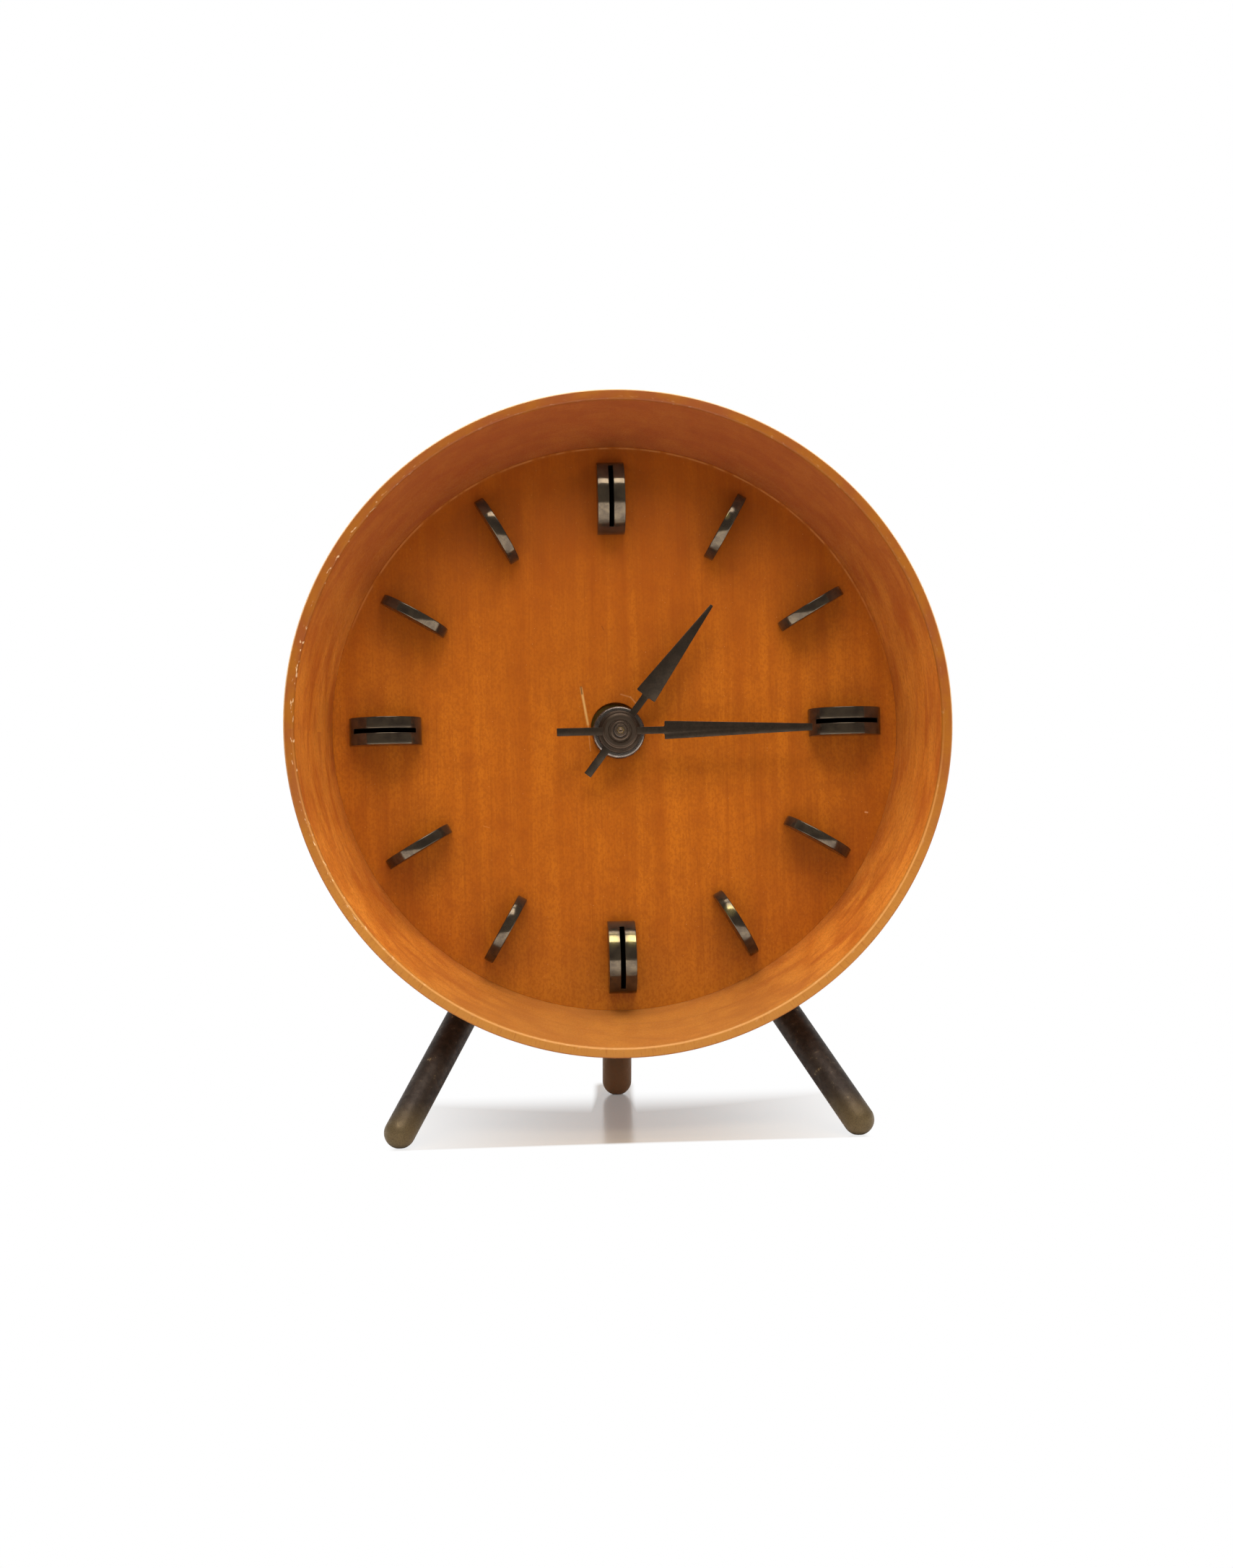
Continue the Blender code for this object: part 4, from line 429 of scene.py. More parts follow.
    def material(self) -> bpy.types.Material:
        """Build the wood, its fibres upright along the dial.

        Returns:
            The bowl's material.
        """
        shade = Shade(self.name)
        ease = partial(shade.take, Step.EASE)
        x, depth, z = shade.axes()
        radius = shade.radius()
        fibres, pores = shade.grain(self.fibres), shade.grain(self.pores)
        round_rim = shade.product(shade.take(Step.ARCTAN2, z, x), RIM)
        slanted = shade.take(Step.ADD, round_rim, shade.product(depth, self.ring_slant))
        rings = shade.grain(self.rings, shade.take(Step.VECTOR, slanted, depth))
        wall = (ease(radius, *self.wall_radius), ease(depth, *self.wall_depth))
        corner = (ease(depth, *self.corner_shade_end), ease(z, *self.corner_shade_foot))
        colour: object = linear(self.base)
        for wash, pattern, masks in (
            (self.band_tone, shade.grain(self.bands), ()),
            (self.fibre_tone, fibres, ()),
            (self.cloud_tone, shade.grain(self.clouds), ()),
            (self.pore_tone, pores, ()),
            (self.grit_tone, shade.grain(self.grit), ()),
            (self.ring_tone, rings, wall),
            # painted shade in the corner where the wall meets the dial
            (self.painted_shade, depth, corner),
            # painted light and shade by height
            (self.painted_top_shade, z, ()),
            (self.painted_foot_tone, z, ()),
        ):
            colour = shade.wash(colour, wash, pattern, *masks)
        front = ease(depth, *self.lip_depth)
        rim_place = shade.take(Step.VECTOR, round_rim, radius)
        lip = self.lip_colour(shade, rim_place, z)
        colour = shade.take(Step.BLEND, shade.product(front, self.lip_share), colour, lip)
        # the pale inner edge: rubbed wear, with a painted highlight low down
        inner = shade.away(radius, RIM - LIP + self.edge_inset)
        colour = shade.wash(colour, self.edge_tone, inner, front, ease(z, *self.edge_foot))
        # the outer edge: a painted highlight above, a dark line below
        outer = ease(radius, *(RIM - inset for inset in self.outline))
        pale = self.painted_rim_highlight
        share = ease(z, pale.start, pale.end, *self.outline_share)
        line = shade.wash(linear(self.outline_dark), pale, z)
        colour = shade.take(Step.BLEND, shade.product(outer, front, share), colour, line)
        near_edge = ease(inner, *self.nick_reach)
        colour = shade.wash(colour, self.nick_tone, shade.grain(self.nicks, rim_place),
                            near_edge, front, ease(x, *self.nick_side))
        sunk = ease(pores, self.pore_tone.start, self.pore_tone.end, 0.0, self.pore_depth)
        height = shade.take(Step.SUBTRACT, fibres, sunk)
        rough = ease(fibres, *self.roughness)
        return shade.finish(shade.surface(colour, rough, height, self.bump, self.specular))


@dataclass(frozen=True)
class DialWood:
    """Dial board: fine upright grain under a thin oil finish, with the wear of years."""

    name: str = "oiled_fine_grained_board"
    base: str = "BB6611"
    fibres: Grain = Grain((0.2, 3.0, 9.0), 3.0, 11.0)
    bands: Grain = Grain((3.4, 6.0, 60.0), 3.0, 12.0, 0.5)
    clouds: Grain = Grain((16.0, 22.0, 26.0), 3.0, 13.0)
    lines: Grain = Grain((0.5, 3.0, 24.0), 2.0, 14.0)
    mottle: Grain = Grain((4.0, 4.0, 5.0), 3.0, 17.0)
    # drawn coarser than the real speckle and dust, which are too fine to show
    speckle: Grain = Grain((0.5, 0.5, 0.7), 2.0, 15.0)
    dust: Grain = Grain((0.3, 0.3, 0.3), 0.0, 16.0)
    band_tone: Wash = Wash("A4530A", 0.25, 0.75)
    fibre_tone: Wash = Wash("8C4408", 0.36, 0.74, 0.0, 0.25)
    cloud_tone: Wash = Wash("8C4408", 0.4, 0.75, 0.0, 0.22)
    line_tone: Wash = Wash("6E3306", 0.54, 0.72, 0.0, 0.2)
    mottle_tone: Wash = Wash("873A07", 0.42, 0.7, 0.0, 0.25)
    speckle_tone: Wash = Wash("8C4408", 0.42, 0.62, 0.0, 0.42)
    dust_tone: Wash = Wash("D9A066", 0.8, 0.84, 0.0, 0.4)
    # painted shade at the top and painted light at the foot, by height in mm up from the board's
    # middle, and painted shade round the hub
    painted_top_shade: Wash = Wash("873A07", 0.0, 50.0, 0.0, 0.5)
    painted_foot_tone: Wash = Wash("B4701C", -46.0, -64.0, 0.0, 0.4)
    hub_shadow: float = 10.0  # mm
    hub_share: float = 0.35
    # the board's edge, rubbed pale where it touches the wall
    edge: float = 64.75  # mm
    edge_tone: Wash = Wash("D08A4C", 0.3, 0.1)
    edge_top: Span = (10.0, 40.0, 0.0, 0.45)
    edge_breaks: Span = (0.4, 0.55, 0.2, 1.0)
    marks: tuple[Mark, ...] = (
        # the long scratch left of the hub, with its dark start
        Mark((-7.76, 9.26), (-6.4, 0.8), 0.46, "D2A05A", 0.85),
        Mark((-6.4, 0.8), (-5.95, -5.29), 0.22, "C58345", 0.6),
        Mark((-7.8, 9.5), (-7.6, 7.9), 0.3, "4B2208", 0.85),
        # the nut's scrape above the hub
        Mark((1.4, 7.6), (3.6, 6.9), 0.28, "C98A50", 0.45),
        Mark((3.6, 6.9), (5.0, 5.2), 0.28, "C98A50", 0.55),
        # specks
        Mark((57.3, -20.9), (57.8, -21.0), 0.3, "D9A066", 0.7),
        Mark((-2.6, 23.4), (-2.2, 22.6), 0.2, "6E330D", 0.6),
        Mark((-31.0, -22.0), (-29.6, -22.5), 0.14, "C58345", 0.35),
        Mark((20.5, -33.0), (21.3, -31.6), 0.14, "6E330D", 0.4),
    )
    mark_depth: float = 1.5  # of the bump's height
    roughness: Span = (0.2, 0.8, 0.42, 0.56)
    bump: float = 0.012  # mm
    specular: float = 0.12

    def material(self) -> bpy.types.Material:
        """Build the board's wood, with its scratches and specks.

        Returns:
            The dial's material.
        """
        shade = Shade(self.name)
        ease = partial(shade.take, Step.EASE)
        z = shade.axes()[2]
        fibres, mottle = shade.grain(self.fibres), shade.grain(self.mottle)
        colour: object = linear(self.base)
        for wash, pattern in (
            (self.band_tone, shade.grain(self.bands)),
            (self.fibre_tone, fibres),
            (self.cloud_tone, shade.grain(self.clouds)),
            (self.line_tone, shade.grain(self.lines)),
            (self.mottle_tone, mottle),
            # painted shade at the top and painted light at the foot
            (self.painted_top_shade, z),
            (self.painted_foot_tone, z),
        ):
            colour = shade.wash(colour, wash, pattern)
        # painted shade round the hub
        hub = shade.product(shade.spot(HUB, self.hub_shadow), self.hub_share)
        colour = shade.take(Step.BLEND, hub, colour, linear(self.painted_top_shade.tone))
        colour = shade.wash(colour, self.speckle_tone, shade.grain(self.speckle))
        colour = shade.wash(colour, self.edge_tone, shade.away(shade.radius(), self.edge),
                            ease(z, *self.edge_top), ease(mottle, *self.edge_breaks))
        colour = shade.wash(colour, self.dust_tone, shade.grain(self.dust))
        cuts = []
        for mark in self.marks:
            cuts.append(shade.line(mark.start, mark.end, mark.half_width))
            share = shade.product(cuts[-1], mark.strength)
            colour = shade.take(Step.BLEND, share, colour, linear(mark.tone))
        deepest = cuts[0]
        for cut_line in cuts[1:]:
            deepest = shade.take(Step.MAXIMUM, deepest, cut_line)
        height = shade.take(Step.SUBTRACT, fibres, shade.product(deepest, self.mark_depth))
        rough = ease(fibres, *self.roughness)
        return shade.finish(shade.surface(colour, rough, height, self.bump, self.specular))


@dataclass(frozen=True)
class AgedMetal:
    """Metal with a mottled skin: a deep and a light tone in patches, and bright spots, some of them
    painted light.
    """

    name: str
    deep: str
    mid: str
    worn: str
    patch: float = 3.0  # mm
    wear: float = 0.68  # level of the mottle above which the skin is worn through
    rough_low: float = 0.28
    rough_high: float = 0.45
    line: float = 0.12  # mm, the brushed lines' spacing
    line_run: float = 40.0  # how many times longer than wide a brushed line is
    bump: float = 0.006  # mm
    bare: float = 1.0  # how metallic the skin is; wax and tarnish take some of it
    seed: float = 0.0
    lit_and_worn_spots: tuple[tuple[float, float, float, float], ...] = ()  # x, z, radius in mm and strength
    spot: str = "CDBE8C"  # the spots' tone, painted light where a spot stands for a highlight
    sawn: float = 0.0  # mm, half the width of the saw slots along the axes
    painted_shade: str = "100B07"  # painted shade inside them
    turned: float = 0.0  # mm around the hub, where it is turned and shines
    tip: str = ""  # the colour that the lowest end is rubbed to
    tip_height: Point = (11.0, 2.0)  # mm above the table, where that starts and ends
    tip_breaks: Span = (0.3, 0.6, 0.5, 1.0)
    specular: float = 0.2
    fine_scale: float = 8.0  # how many times finer the second mottle is
    shares: Point = (0.7, 0.3)  # of the mottle and of the finer one
    tone_levels: Point = (0.38, 0.62)  # where the deep tone gives way to the light one
    wear_blur: float = 0.06
    rough_levels: Point = (0.3, 0.7)
    slot_blur: float = 0.04  # mm
    slot_ends: Point = (0.12, 0.06)  # mm past the slot, where the painted shade ends
    slot_roughness: float = 0.9
    turned_shine: float = 0.6
    relief: float = 0.5  # of the finer mottle in the bump

    def slots(self, shade: Shade) -> Socket:
        """Mask the saw slots of the quarters' markers, a little past their walls.

        Args:
            shade: the material.

        Returns:
            1 in the slots and 0 away from them.
        """
        x, _, z = shade.axes()
        x, z = shade.take(Step.ABSOLUTE, x), shade.take(Step.ABSOLUTE, z)
        along = shade.away(shade.take(Step.MAXIMUM, x, z), MARKER_RING)
        aside = shade.take(Step.MINIMUM, x, z)
        ends = (SLOT_LENGTH / 2 + past for past in self.slot_ends)
        across = shade.take(Step.EASE, aside, self.sawn + self.slot_blur, self.sawn)
        return shade.product(across, shade.take(Step.EASE, along, *ends))

    def material(self) -> bpy.types.Material:
        """Build the metal's skin.

        Returns:
            The metal's material.
        """
        shade = Shade(self.name)
        patches = shade.grain(Grain((self.patch,) * 3, 3.0, self.seed, 0.4))
        fine = shade.grain(Grain((self.patch / self.fine_scale,) * 3, 2.0, self.seed + 1))
        brushed = (self.line, self.line, self.line * self.line_run)
        lines = shade.grain(Grain(brushed, 2.0, self.seed + 2))
        both = (shade.product(patches, self.shares[0]), shade.product(fine, self.shares[1]))
        skin = shade.take(Step.ADD, *both)
        colour = shade.wash(linear(self.deep), Wash(self.mid, *self.tone_levels), skin)
        worn = Wash(self.worn, self.wear - self.wear_blur, self.wear + self.wear_blur)
        colour = shade.wash(colour, worn, skin)
        if self.tip:
            up = (0.0, math.sin(LEAN), math.cos(LEAN))
            height = shade.take(Step.ADD, shade.take(Step.DOT, shade.place, up), RIM_CENTRE.z / MM)
            worn_and_lit = shade.take(Step.EASE, fine, *self.tip_breaks)
            colour = shade.wash(colour, Wash(self.tip, *self.tip_height), height, worn_and_lit)
        # the spots: painted highlights on the markers, painted light on the rear leg, a lighter
        # boss and tube ring on the hands
        for x, z, size, strength in self.lit_and_worn_spots:
            worn_and_lit = shade.product(shade.spot((x, z), size), strength)
            colour = shade.take(Step.BLEND, worn_and_lit, colour, linear(self.spot))
        rough = shade.take(Step.EASE, skin, *self.rough_levels, self.rough_high, self.rough_low)
        if self.sawn:
            # the saw slots painted dark as shade, and made rough
            slots = self.slots(shade)
            colour = shade.take(Step.BLEND, slots, colour, linear(self.painted_shade))
            rough = shade.take(Step.MAXIMUM, rough, shade.product(slots, self.slot_roughness))
        if self.turned:
            shine = self.rough_low * self.turned_shine
            shine = shade.product(shade.spot(HUB, self.turned), shine)
            rough = shade.take(Step.SUBTRACT, rough, shine)
        height = shade.take(Step.ADD, lines, shade.product(fine, self.relief))
        surface = shade.surface(colour, rough, height, self.bump, self.specular, self.bare)
        return shade.finish(surface)


MARKER_BRONZE = AgedMetal(
    # cast bronze, waxed brown, with the olive cast of old wax; pale spots painted on as highlights,
    # saw slots painted dark as shade
    "waxed_brown_bronze", "443A30", "5C5040", "8F7A50", patch=2.4, wear=0.72,
    rough_low=0.1, rough_high=0.2, bump=0.002, bare=0.75, seed=20.0, spot="B5A468", sawn=0.54,
    lit_and_worn_spots=((-2.1, -48.9, 2.2, 0.5), (2.2, -48.9, 2.2, 0.6), (24.6, -42.8, 2.0, 0.5),
           (26.2, 47.4, 1.2, 0.5)),
)
HAND_BRONZE = AgedMetal(
    # sheet bronze, darkened chemically, matt
    "darkened_sheet_bronze", "2B231B", "372D23", "6E5632", patch=3.5, wear=0.74,
    rough_low=0.36, rough_high=0.5, bare=0.7, seed=30.0, turned=5.2,
    lit_and_worn_spots=((*HUB, 5.4, 0.47), (*HUB, 0.8, 0.9)), spot="86705E",
)
LEG_BRONZE = AgedMetal(
    # drawn bronze rod, waxed brown and dull, rubbed to a brassy tone at the tips; its spot paints
    # light on the lower rear leg
    "drawn_brown_bronze_rod", "2C231D", "392F27", "857353", patch=1.5, wear=0.66,
    rough_low=0.44, rough_high=0.6, bare=0.4, seed=40.0, tip="665539",
    lit_and_worn_spots=((0.0, -84.0, 17.0, 0.8),), spot="94704F",
)
BLACK_STEEL = AgedMetal(
    # blackened turned steel, a little oily
    "blackened_turned_steel", "564D46", "72685F", "968B80", patch=1.6, wear=0.7,
    rough_low=0.2, rough_high=0.34, bare=0.8, seed=50.0,
)
KEY_BRASS = AgedMetal(
    # polished brass, tarnished where no finger rubs it
    "handled_key_brass", "8C6C3A", "A2834E", "C2A56C", patch=3.0, wear=0.66,
    rough_low=0.2, rough_high=0.34, seed=60.0,
)
COVER_METAL = AgedMetal(
    # spun brass, lacquered, dulled to a brown gold
    "dulled_spun_brass", "856B3E", "907646", "A48A58", patch=9.0, wear=0.7,
    rough_low=0.3, rough_high=0.42, seed=70.0,
)
PLATE_BRASS = AgedMetal(
    # rolled clock brass, brushed one way
    "brushed_plate_brass", "B08E42", "C9A75A", "DCC382", patch=8.0, wear=0.7,
    rough_low=0.26, rough_high=0.36, seed=80.0,
)
WHEEL_BRASS = AgedMetal(
    # cut and polished wheel brass
    "polished_wheel_brass", "BE9A4A", "D4B368", "E6CE92", patch=4.0, wear=0.66,
    rough_low=0.18, rough_high=0.28, seed=90.0,
)
PLAIN_STEEL = AgedMetal(
    # ground bright steel
    "ground_bright_steel", "8E8D8C", "A9A9AA", "C6C6C8", patch=3.0, wear=0.66,
    rough_low=0.2, rough_high=0.32, seed=100.0,
)
BLUE_STEEL = AgedMetal(
    # spring steel, tempered blue
    "tempered_blue_steel", "27304A", "38466B", "6A5C7A", patch=5.0, wear=0.7,
    rough_low=0.2, rough_high=0.3, seed=110.0,
)
METALS = (MARKER_BRONZE, HAND_BRONZE, LEG_BRONZE, BLACK_STEEL, KEY_BRASS, COVER_METAL,
          PLATE_BRASS, WHEEL_BRASS, PLAIN_STEEL, BLUE_STEEL)


def rounded(corners: list[Place], steps: int = 4, loop: bool = True) -> list[Point]:
    """A chain of corners with each one rounded by its own radius.

    Args:
        corners: x, y and the length that the rounding takes off each side.
        steps: points in a rounding.
        loop: whether the chain closes on itself.

    Returns:
        The points of the rounded chain.
    """
    points: list[Point] = []
    count = len(corners)
    for i, (x, y, size) in enumerate(corners):
        if not size or (not loop and i in (0, count - 1)):
            points.append((x, y))
            continue
        here = Vector((x, y))
        before = Vector(corners[i - 1][:2])
        after = Vector(corners[(i + 1) % count][:2])
        start = here + (before - here).normalized() * size
        end = here + (after - here).normalized() * size
        for k in range(steps + 1):
            t = k / steps
            point = start * (1 - t) ** 2 + here * 2 * t * (1 - t) + end * t**2
            points.append((point.x, point.y))
    return points


def arc(centre: Point, radius: float, start: float, sweep: float, steps: int) -> list[Point]:
    """Points along an arc.

    Args:
        centre: its centre.
        radius: its radius.
        start: its first angle in radians.
        sweep: how far it goes on.
        steps: how many steps it has.

    Returns:
        The points, both ends included.
    """
    turns = [start + sweep * i / steps for i in range(steps + 1)]
    return [(centre[0] + radius * math.cos(a), centre[1] + radius * math.sin(a)) for a in turns]


def smooth(mesh: bpy.types.Mesh) -> None:
    """Shade a mesh smooth but for its creases."""
    mesh.shade_smooth()
    mesh.set_sharp_from_angle(angle=CREASE)


def settle(bm: bmesh.types.BMesh, name: str) -> bpy.types.Mesh:
    """Make a mesh of a closed shell, its faces out, in metres, smooth but for its creases.

    Args:
        bm: the shell in millimetres, which is used up.
        name: the mesh's name.

    Returns:
        The mesh.
    """
    bmesh.ops.remove_doubles(bm, verts=bm.verts, dist=1e-4)
    bmesh.ops.recalc_face_normals(bm, faces=bm.faces)
    mesh = bpy.data.meshes.new(name)
    bm.to_mesh(mesh)
    bm.free()
    mesh.transform(Matrix.Scale(MM, 4))
    smooth(mesh)
    return mesh


def lathe(name: str, profile: list[Point], sides: int) -> bpy.types.Mesh:
    """Turn a profile about the Y axis.

    Args:
        name: the mesh's name.
        profile: radius and depth in mm, a closed chain, or one with both ends on the axis.
        sides: how many sides the turning has.

    Returns:
        The closed mesh.
    """
    bm = bmesh.new()
    rings = []
    turns = [math.tau * i / sides for i in range(sides)]
    for radius, depth in profile:
        around = turns if radius > 0 else turns[:1]
        places = [(radius * math.cos(a), depth, radius * math.sin(a)) for a in around]
        rings.append([bm.verts.new(place) for place in places])
    ended = len(rings[0]) == 1 and len(rings[-1]) == 1
    following = rings[1:] if ended else rings[1:] + rings[:1]
    for first, second in zip(rings, following):
        for i in range(sides):
            j = (i + 1) % sides
            corners = [first[i % len(first)], first[j % len(first)],
                       second[j % len(second)], second[i % len(second)]]
            bm.faces.new(list(dict.fromkeys(corners)))
    return settle(bm, name)


def rod(name: str, radius: float, near: float, far: float, sides: int) -> bpy.types.Mesh:
    """A plain round rod along the Y axis, which cuts a hole.

    Args:
        name: the mesh's name.
        radius: its radius in mm.
        near: the depth of its front in mm.
        far: the depth of its back in mm.
        sides: how many sides it has.

    Returns:
        The closed mesh.
    """
    return lathe(name, [(0, near), (radius, near), (radius, far), (0, far)], sides)


def plate(name: str, outlines: list[list[Point]], near: float, far: float) -> bpy.types.Mesh:
    """A flat plate with holes, square to the Y axis.

    Args:
        name: the mesh's name.
        outlines: the outer outline and then its holes, as x and z in mm.
        near: the depth of its front in mm.
        far: the depth of its back in mm.

    Returns:
        The closed mesh.
    """
    bm = bmesh.new()
    for outline in outlines:
        corners = [bm.verts.new((x, near, z)) for x, z in outline]
        for pair in zip(corners, corners[1:] + corners[:1]):
            bm.edges.new(pair)
    bmesh.ops.triangle_fill(bm, use_beauty=True, edges=bm.edges)
    bmesh.ops.dissolve_limit(bm, angle_limit=0.001, verts=bm.verts, edges=bm.edges)
    made = bmesh.ops.extrude_face_region(bm, geom=bm.faces[:], use_keep_orig=True)
    moved = [item for item in made["geom"] if isinstance(item, bmesh.types.BMVert)]
    bmesh.ops.translate(bm, vec=(0.0, far - near, 0.0), verts=moved)
    return settle(bm, name)


def block(left: float, right: float, half: float) -> list[Point]:
    """The outline of an oblong that lies evenly about the X axis."""
    return [(left, -half), (right, -half), (right, half), (left, half)]


def beside(axis: Point) -> Matrix:
    """The shift from the bowl's own axis to another one, square to the dial too."""
    return Matrix.Translation(Vector((axis[0], 0.0, axis[1])) * MM)


def screw_axes() -> list[Point]:
    """The axes of the back cover's screws, the first one at the top."""
    turns = [math.pi / 2 + math.tau * i / SCREW_COUNT for i in range(SCREW_COUNT)]
    return [(SCREW_RING * math.cos(a), SCREW_RING * math.sin(a)) for a in turns]


def solid(mesh: bpy.types.Mesh, name: str) -> bpy.types.Object:
    """Put a mesh into the scene.

    Args:
        mesh: the mesh.
        name: the object's name.

    Returns:
        The object that holds it.
    """
    piece = bpy.data.objects.new(name, mesh)
    bpy.context.scene.collection.objects.link(piece)
    return piece


def baked(piece: bpy.types.Object) -> bpy.types.Mesh:
    """The mesh of a piece with its modifiers run, which are then removed.

    Args:
        piece: the object.

    Returns:
        The plain mesh, which the piece now holds.
    """
    bpy.context.view_layer.update()
    graph = bpy.context.evaluated_depsgraph_get()
    mesh = bpy.data.meshes.new_from_object(piece.evaluated_get(graph))
    piece.modifiers.clear()
    piece.data = mesh
    return mesh


def break_edges(piece: bpy.types.Object, width: float, segments: int) -> None:
    """Break a piece's sharp edges, as a file or a buff does.

    Args:
        piece: the object.
        width: the width of the broken edge in mm.
        segments: steps across it.
    """
    bevel = piece.modifiers.new("broken_edges", "BEVEL")
    bevel.width = width * MM
    bevel.segments = segments
    bevel.limit_method = "ANGLE"
    bevel.angle_limit = SHARP
    bevel.use_clamp_overlap = True
    smooth(baked(piece))


def cut(piece: bpy.types.Object, tools: list[bpy.types.Mesh]) -> None:
    """Cut meshes out of a piece.

    Args:
        piece: the object.
        tools: the cutters, which are used up.
    """
    cutters = [solid(tool, "cutter") for tool in tools]
    for cutter in cutters:
        modifier = piece.modifiers.new("cut", "BOOLEAN")
        modifier.operation = "DIFFERENCE"
        modifier.solver = "EXACT"
        modifier.object = cutter
    mesh = baked(piece)
    for cutter in cutters:
        bpy.data.objects.remove(cutter)
    smooth(mesh)


def join(first: bpy.types.Object, *others: bpy.types.Object) -> None:
    """Make one piece of several closed shells that are fixed together.

    Args:
        first: the object that stays.
        others: the objects that go into it.
    """
    bm = bmesh.new()
    for piece in (first, *others):
        bm.from_mesh(piece.data)
    bm.to_mesh(first.data)
    bm.free()
    for piece in others:
        bpy.data.objects.remove(piece)


def new_tree(name: str, inputs: dict[str, str]) -> bpy.types.GeometryNodeTree:
    """A geometry tree with its named inputs and its one output.

    Args:
        name: its name.
        inputs: Float or Int for each input's name.

    Returns:
        The tree, with no node in it.
    """
    tree = bpy.data.node_groups.new(name, "GeometryNodeTree")
    for label, kind in inputs.items():
        tree.interface.new_socket(label, in_out="INPUT", socket_type=f"NodeSocket{kind}")
    tree.interface.new_socket("Geometry", in_out="OUTPUT", socket_type="NodeSocketGeometry")
    return tree


def end_tree(tree: bpy.types.GeometryNodeTree, shape: Socket, material: bpy.types.Material) -> None:
    """End a geometry tree: its copies are made real and its material is set.

    Args:
        tree: the tree.
        shape: what it has drawn.
        material: what that is made of.
    """
    real = add(tree, "GeometryNodeRealizeInstances", None, {"Geometry": shape}).outputs[0]
    made = add(tree, "GeometryNodeSetMaterial", None, {"Geometry": real, "Material": material})
    add(tree, "NodeGroupOutput", None, {0: made.outputs[0]})


def drawn(name: str, tree: bpy.types.GeometryNodeTree, sizes: dict[str, float]) -> bpy.types.Object:
    """A piece that a geometry tree draws.

    Args:
        name: the piece's name.
        tree: the tree.
        sizes: a value for each of the tree's inputs, by name.

    Returns:
        The piece, with the tree run and removed.
    """
    piece = solid(bpy.data.meshes.new(name), name)
    modifier = piece.modifiers.new(tree.name, "NODES")
    modifier.node_group = tree
    for item in tree.interface.items_tree:
        if item.in_out == "INPUT":
            modifier[item.identifier] = sizes[item.name]
    baked(piece)
    return piece


def fit(piece: bpy.types.Object, material: bpy.types.Material, body: Body, slot: Slot,
        *nodes: str) -> None:
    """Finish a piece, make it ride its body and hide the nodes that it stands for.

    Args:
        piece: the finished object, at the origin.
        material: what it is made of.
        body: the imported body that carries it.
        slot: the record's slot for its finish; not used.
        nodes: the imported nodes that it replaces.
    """
    piece.data.materials.clear()
    piece.data.materials.append(material)
    for face in piece.data.polygons:
        face.material_index = 0
    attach(piece, body.value)
    if nodes:
        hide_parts(*nodes)
    LOG.info("%s: %d faces on %s", piece.name, len(piece.data.polygons), body.value)


@dataclass
class Legs:
    """Three bronze rods with domed tips that splay from the bowl to the table."""

    radius: float = 3.5
    socket: float = 11.0  # mm inside the wood
    play: float = 0.12
    end_play: float = 0.2
    chamfer: float = 0.4
    cutter_lead: float = 14.0  # mm that the socket's cutter starts before the wood
    sides: int = 64
    socket_sides: int = 48
    dome_steps: int = 14
    rings: int = 24
    lines: tuple[tuple[str, Place, Place], ...] = (
        # name, centre of the round tip, where the axis enters the bowl, in mm
        ("left_leg", (-50.94, -36.986, 3.3), (-32.466, -7.002, 31.991)),
        ("right_leg", (50.94, -36.986, 3.3), (32.466, -7.002, 31.991)),
        ("rear_leg", (0.0, 20.014, 3.3), (0.0, 8.837, 29.642)),
    )

    def _along(self, tip: Place, entry: Place) -> tuple[Matrix, float]:
        """Where a leg stands that is drawn along Y from its tip.

        Args:
            tip: the centre of its round tip in mm.
            entry: where its axis enters the bowl in mm.

        Returns:
            Its placing, and its length to the bowl in mm.
        """
        run = Vector(entry) - Vector(tip)
        turn = run.to_track_quat("Y", "Z").to_matrix().to_4x4()
        return Matrix.Translation(Vector(tip) * MM) @ turn, run.length

    def sockets(self) -> list[bpy.types.Mesh]:
        """Draw what cuts the sockets into the bowl.

        Returns:
            A cutter for each leg.
        """
        cutters = []
        for name, tip, entry in self.lines:
            placing, length = self._along(tip, entry)
            cutters.append(rod(f"{name}_socket", self.radius + self.play,
                               length - self.cutter_lead, length + self.socket, self.socket_sides))
            cutters[-1].transform(placing)
        return cutters

    def build(self, bronze: bpy.types.Material) -> None:
        """Make the three legs.

        Args:
            bronze: their material.
        """
        for name, tip, entry in self.lines:
            placing, length = self._along(tip, entry)
            top = length + self.socket - self.end_play
            dome = arc((0.0, 0.0), self.radius, -math.pi / 2, math.pi / 2, self.dome_steps)
            profile = [(0.0, -self.radius)] + dome[1:]
            side = top - self.chamfer
            profile += [(self.radius, side * i / self.rings) for i in range(1, self.rings + 1)]
            profile += [(self.radius - self.chamfer, top), (0.0, top)]
            mesh = lathe(name, profile, self.sides)
            mesh.transform(placing)
            for vertex in mesh.vertices:
                vertex.co.z = max(vertex.co.z, 0.0)
            fit(solid(mesh, f"{name}_rod"), bronze, Body.FRAME, Slot.LEG, name)


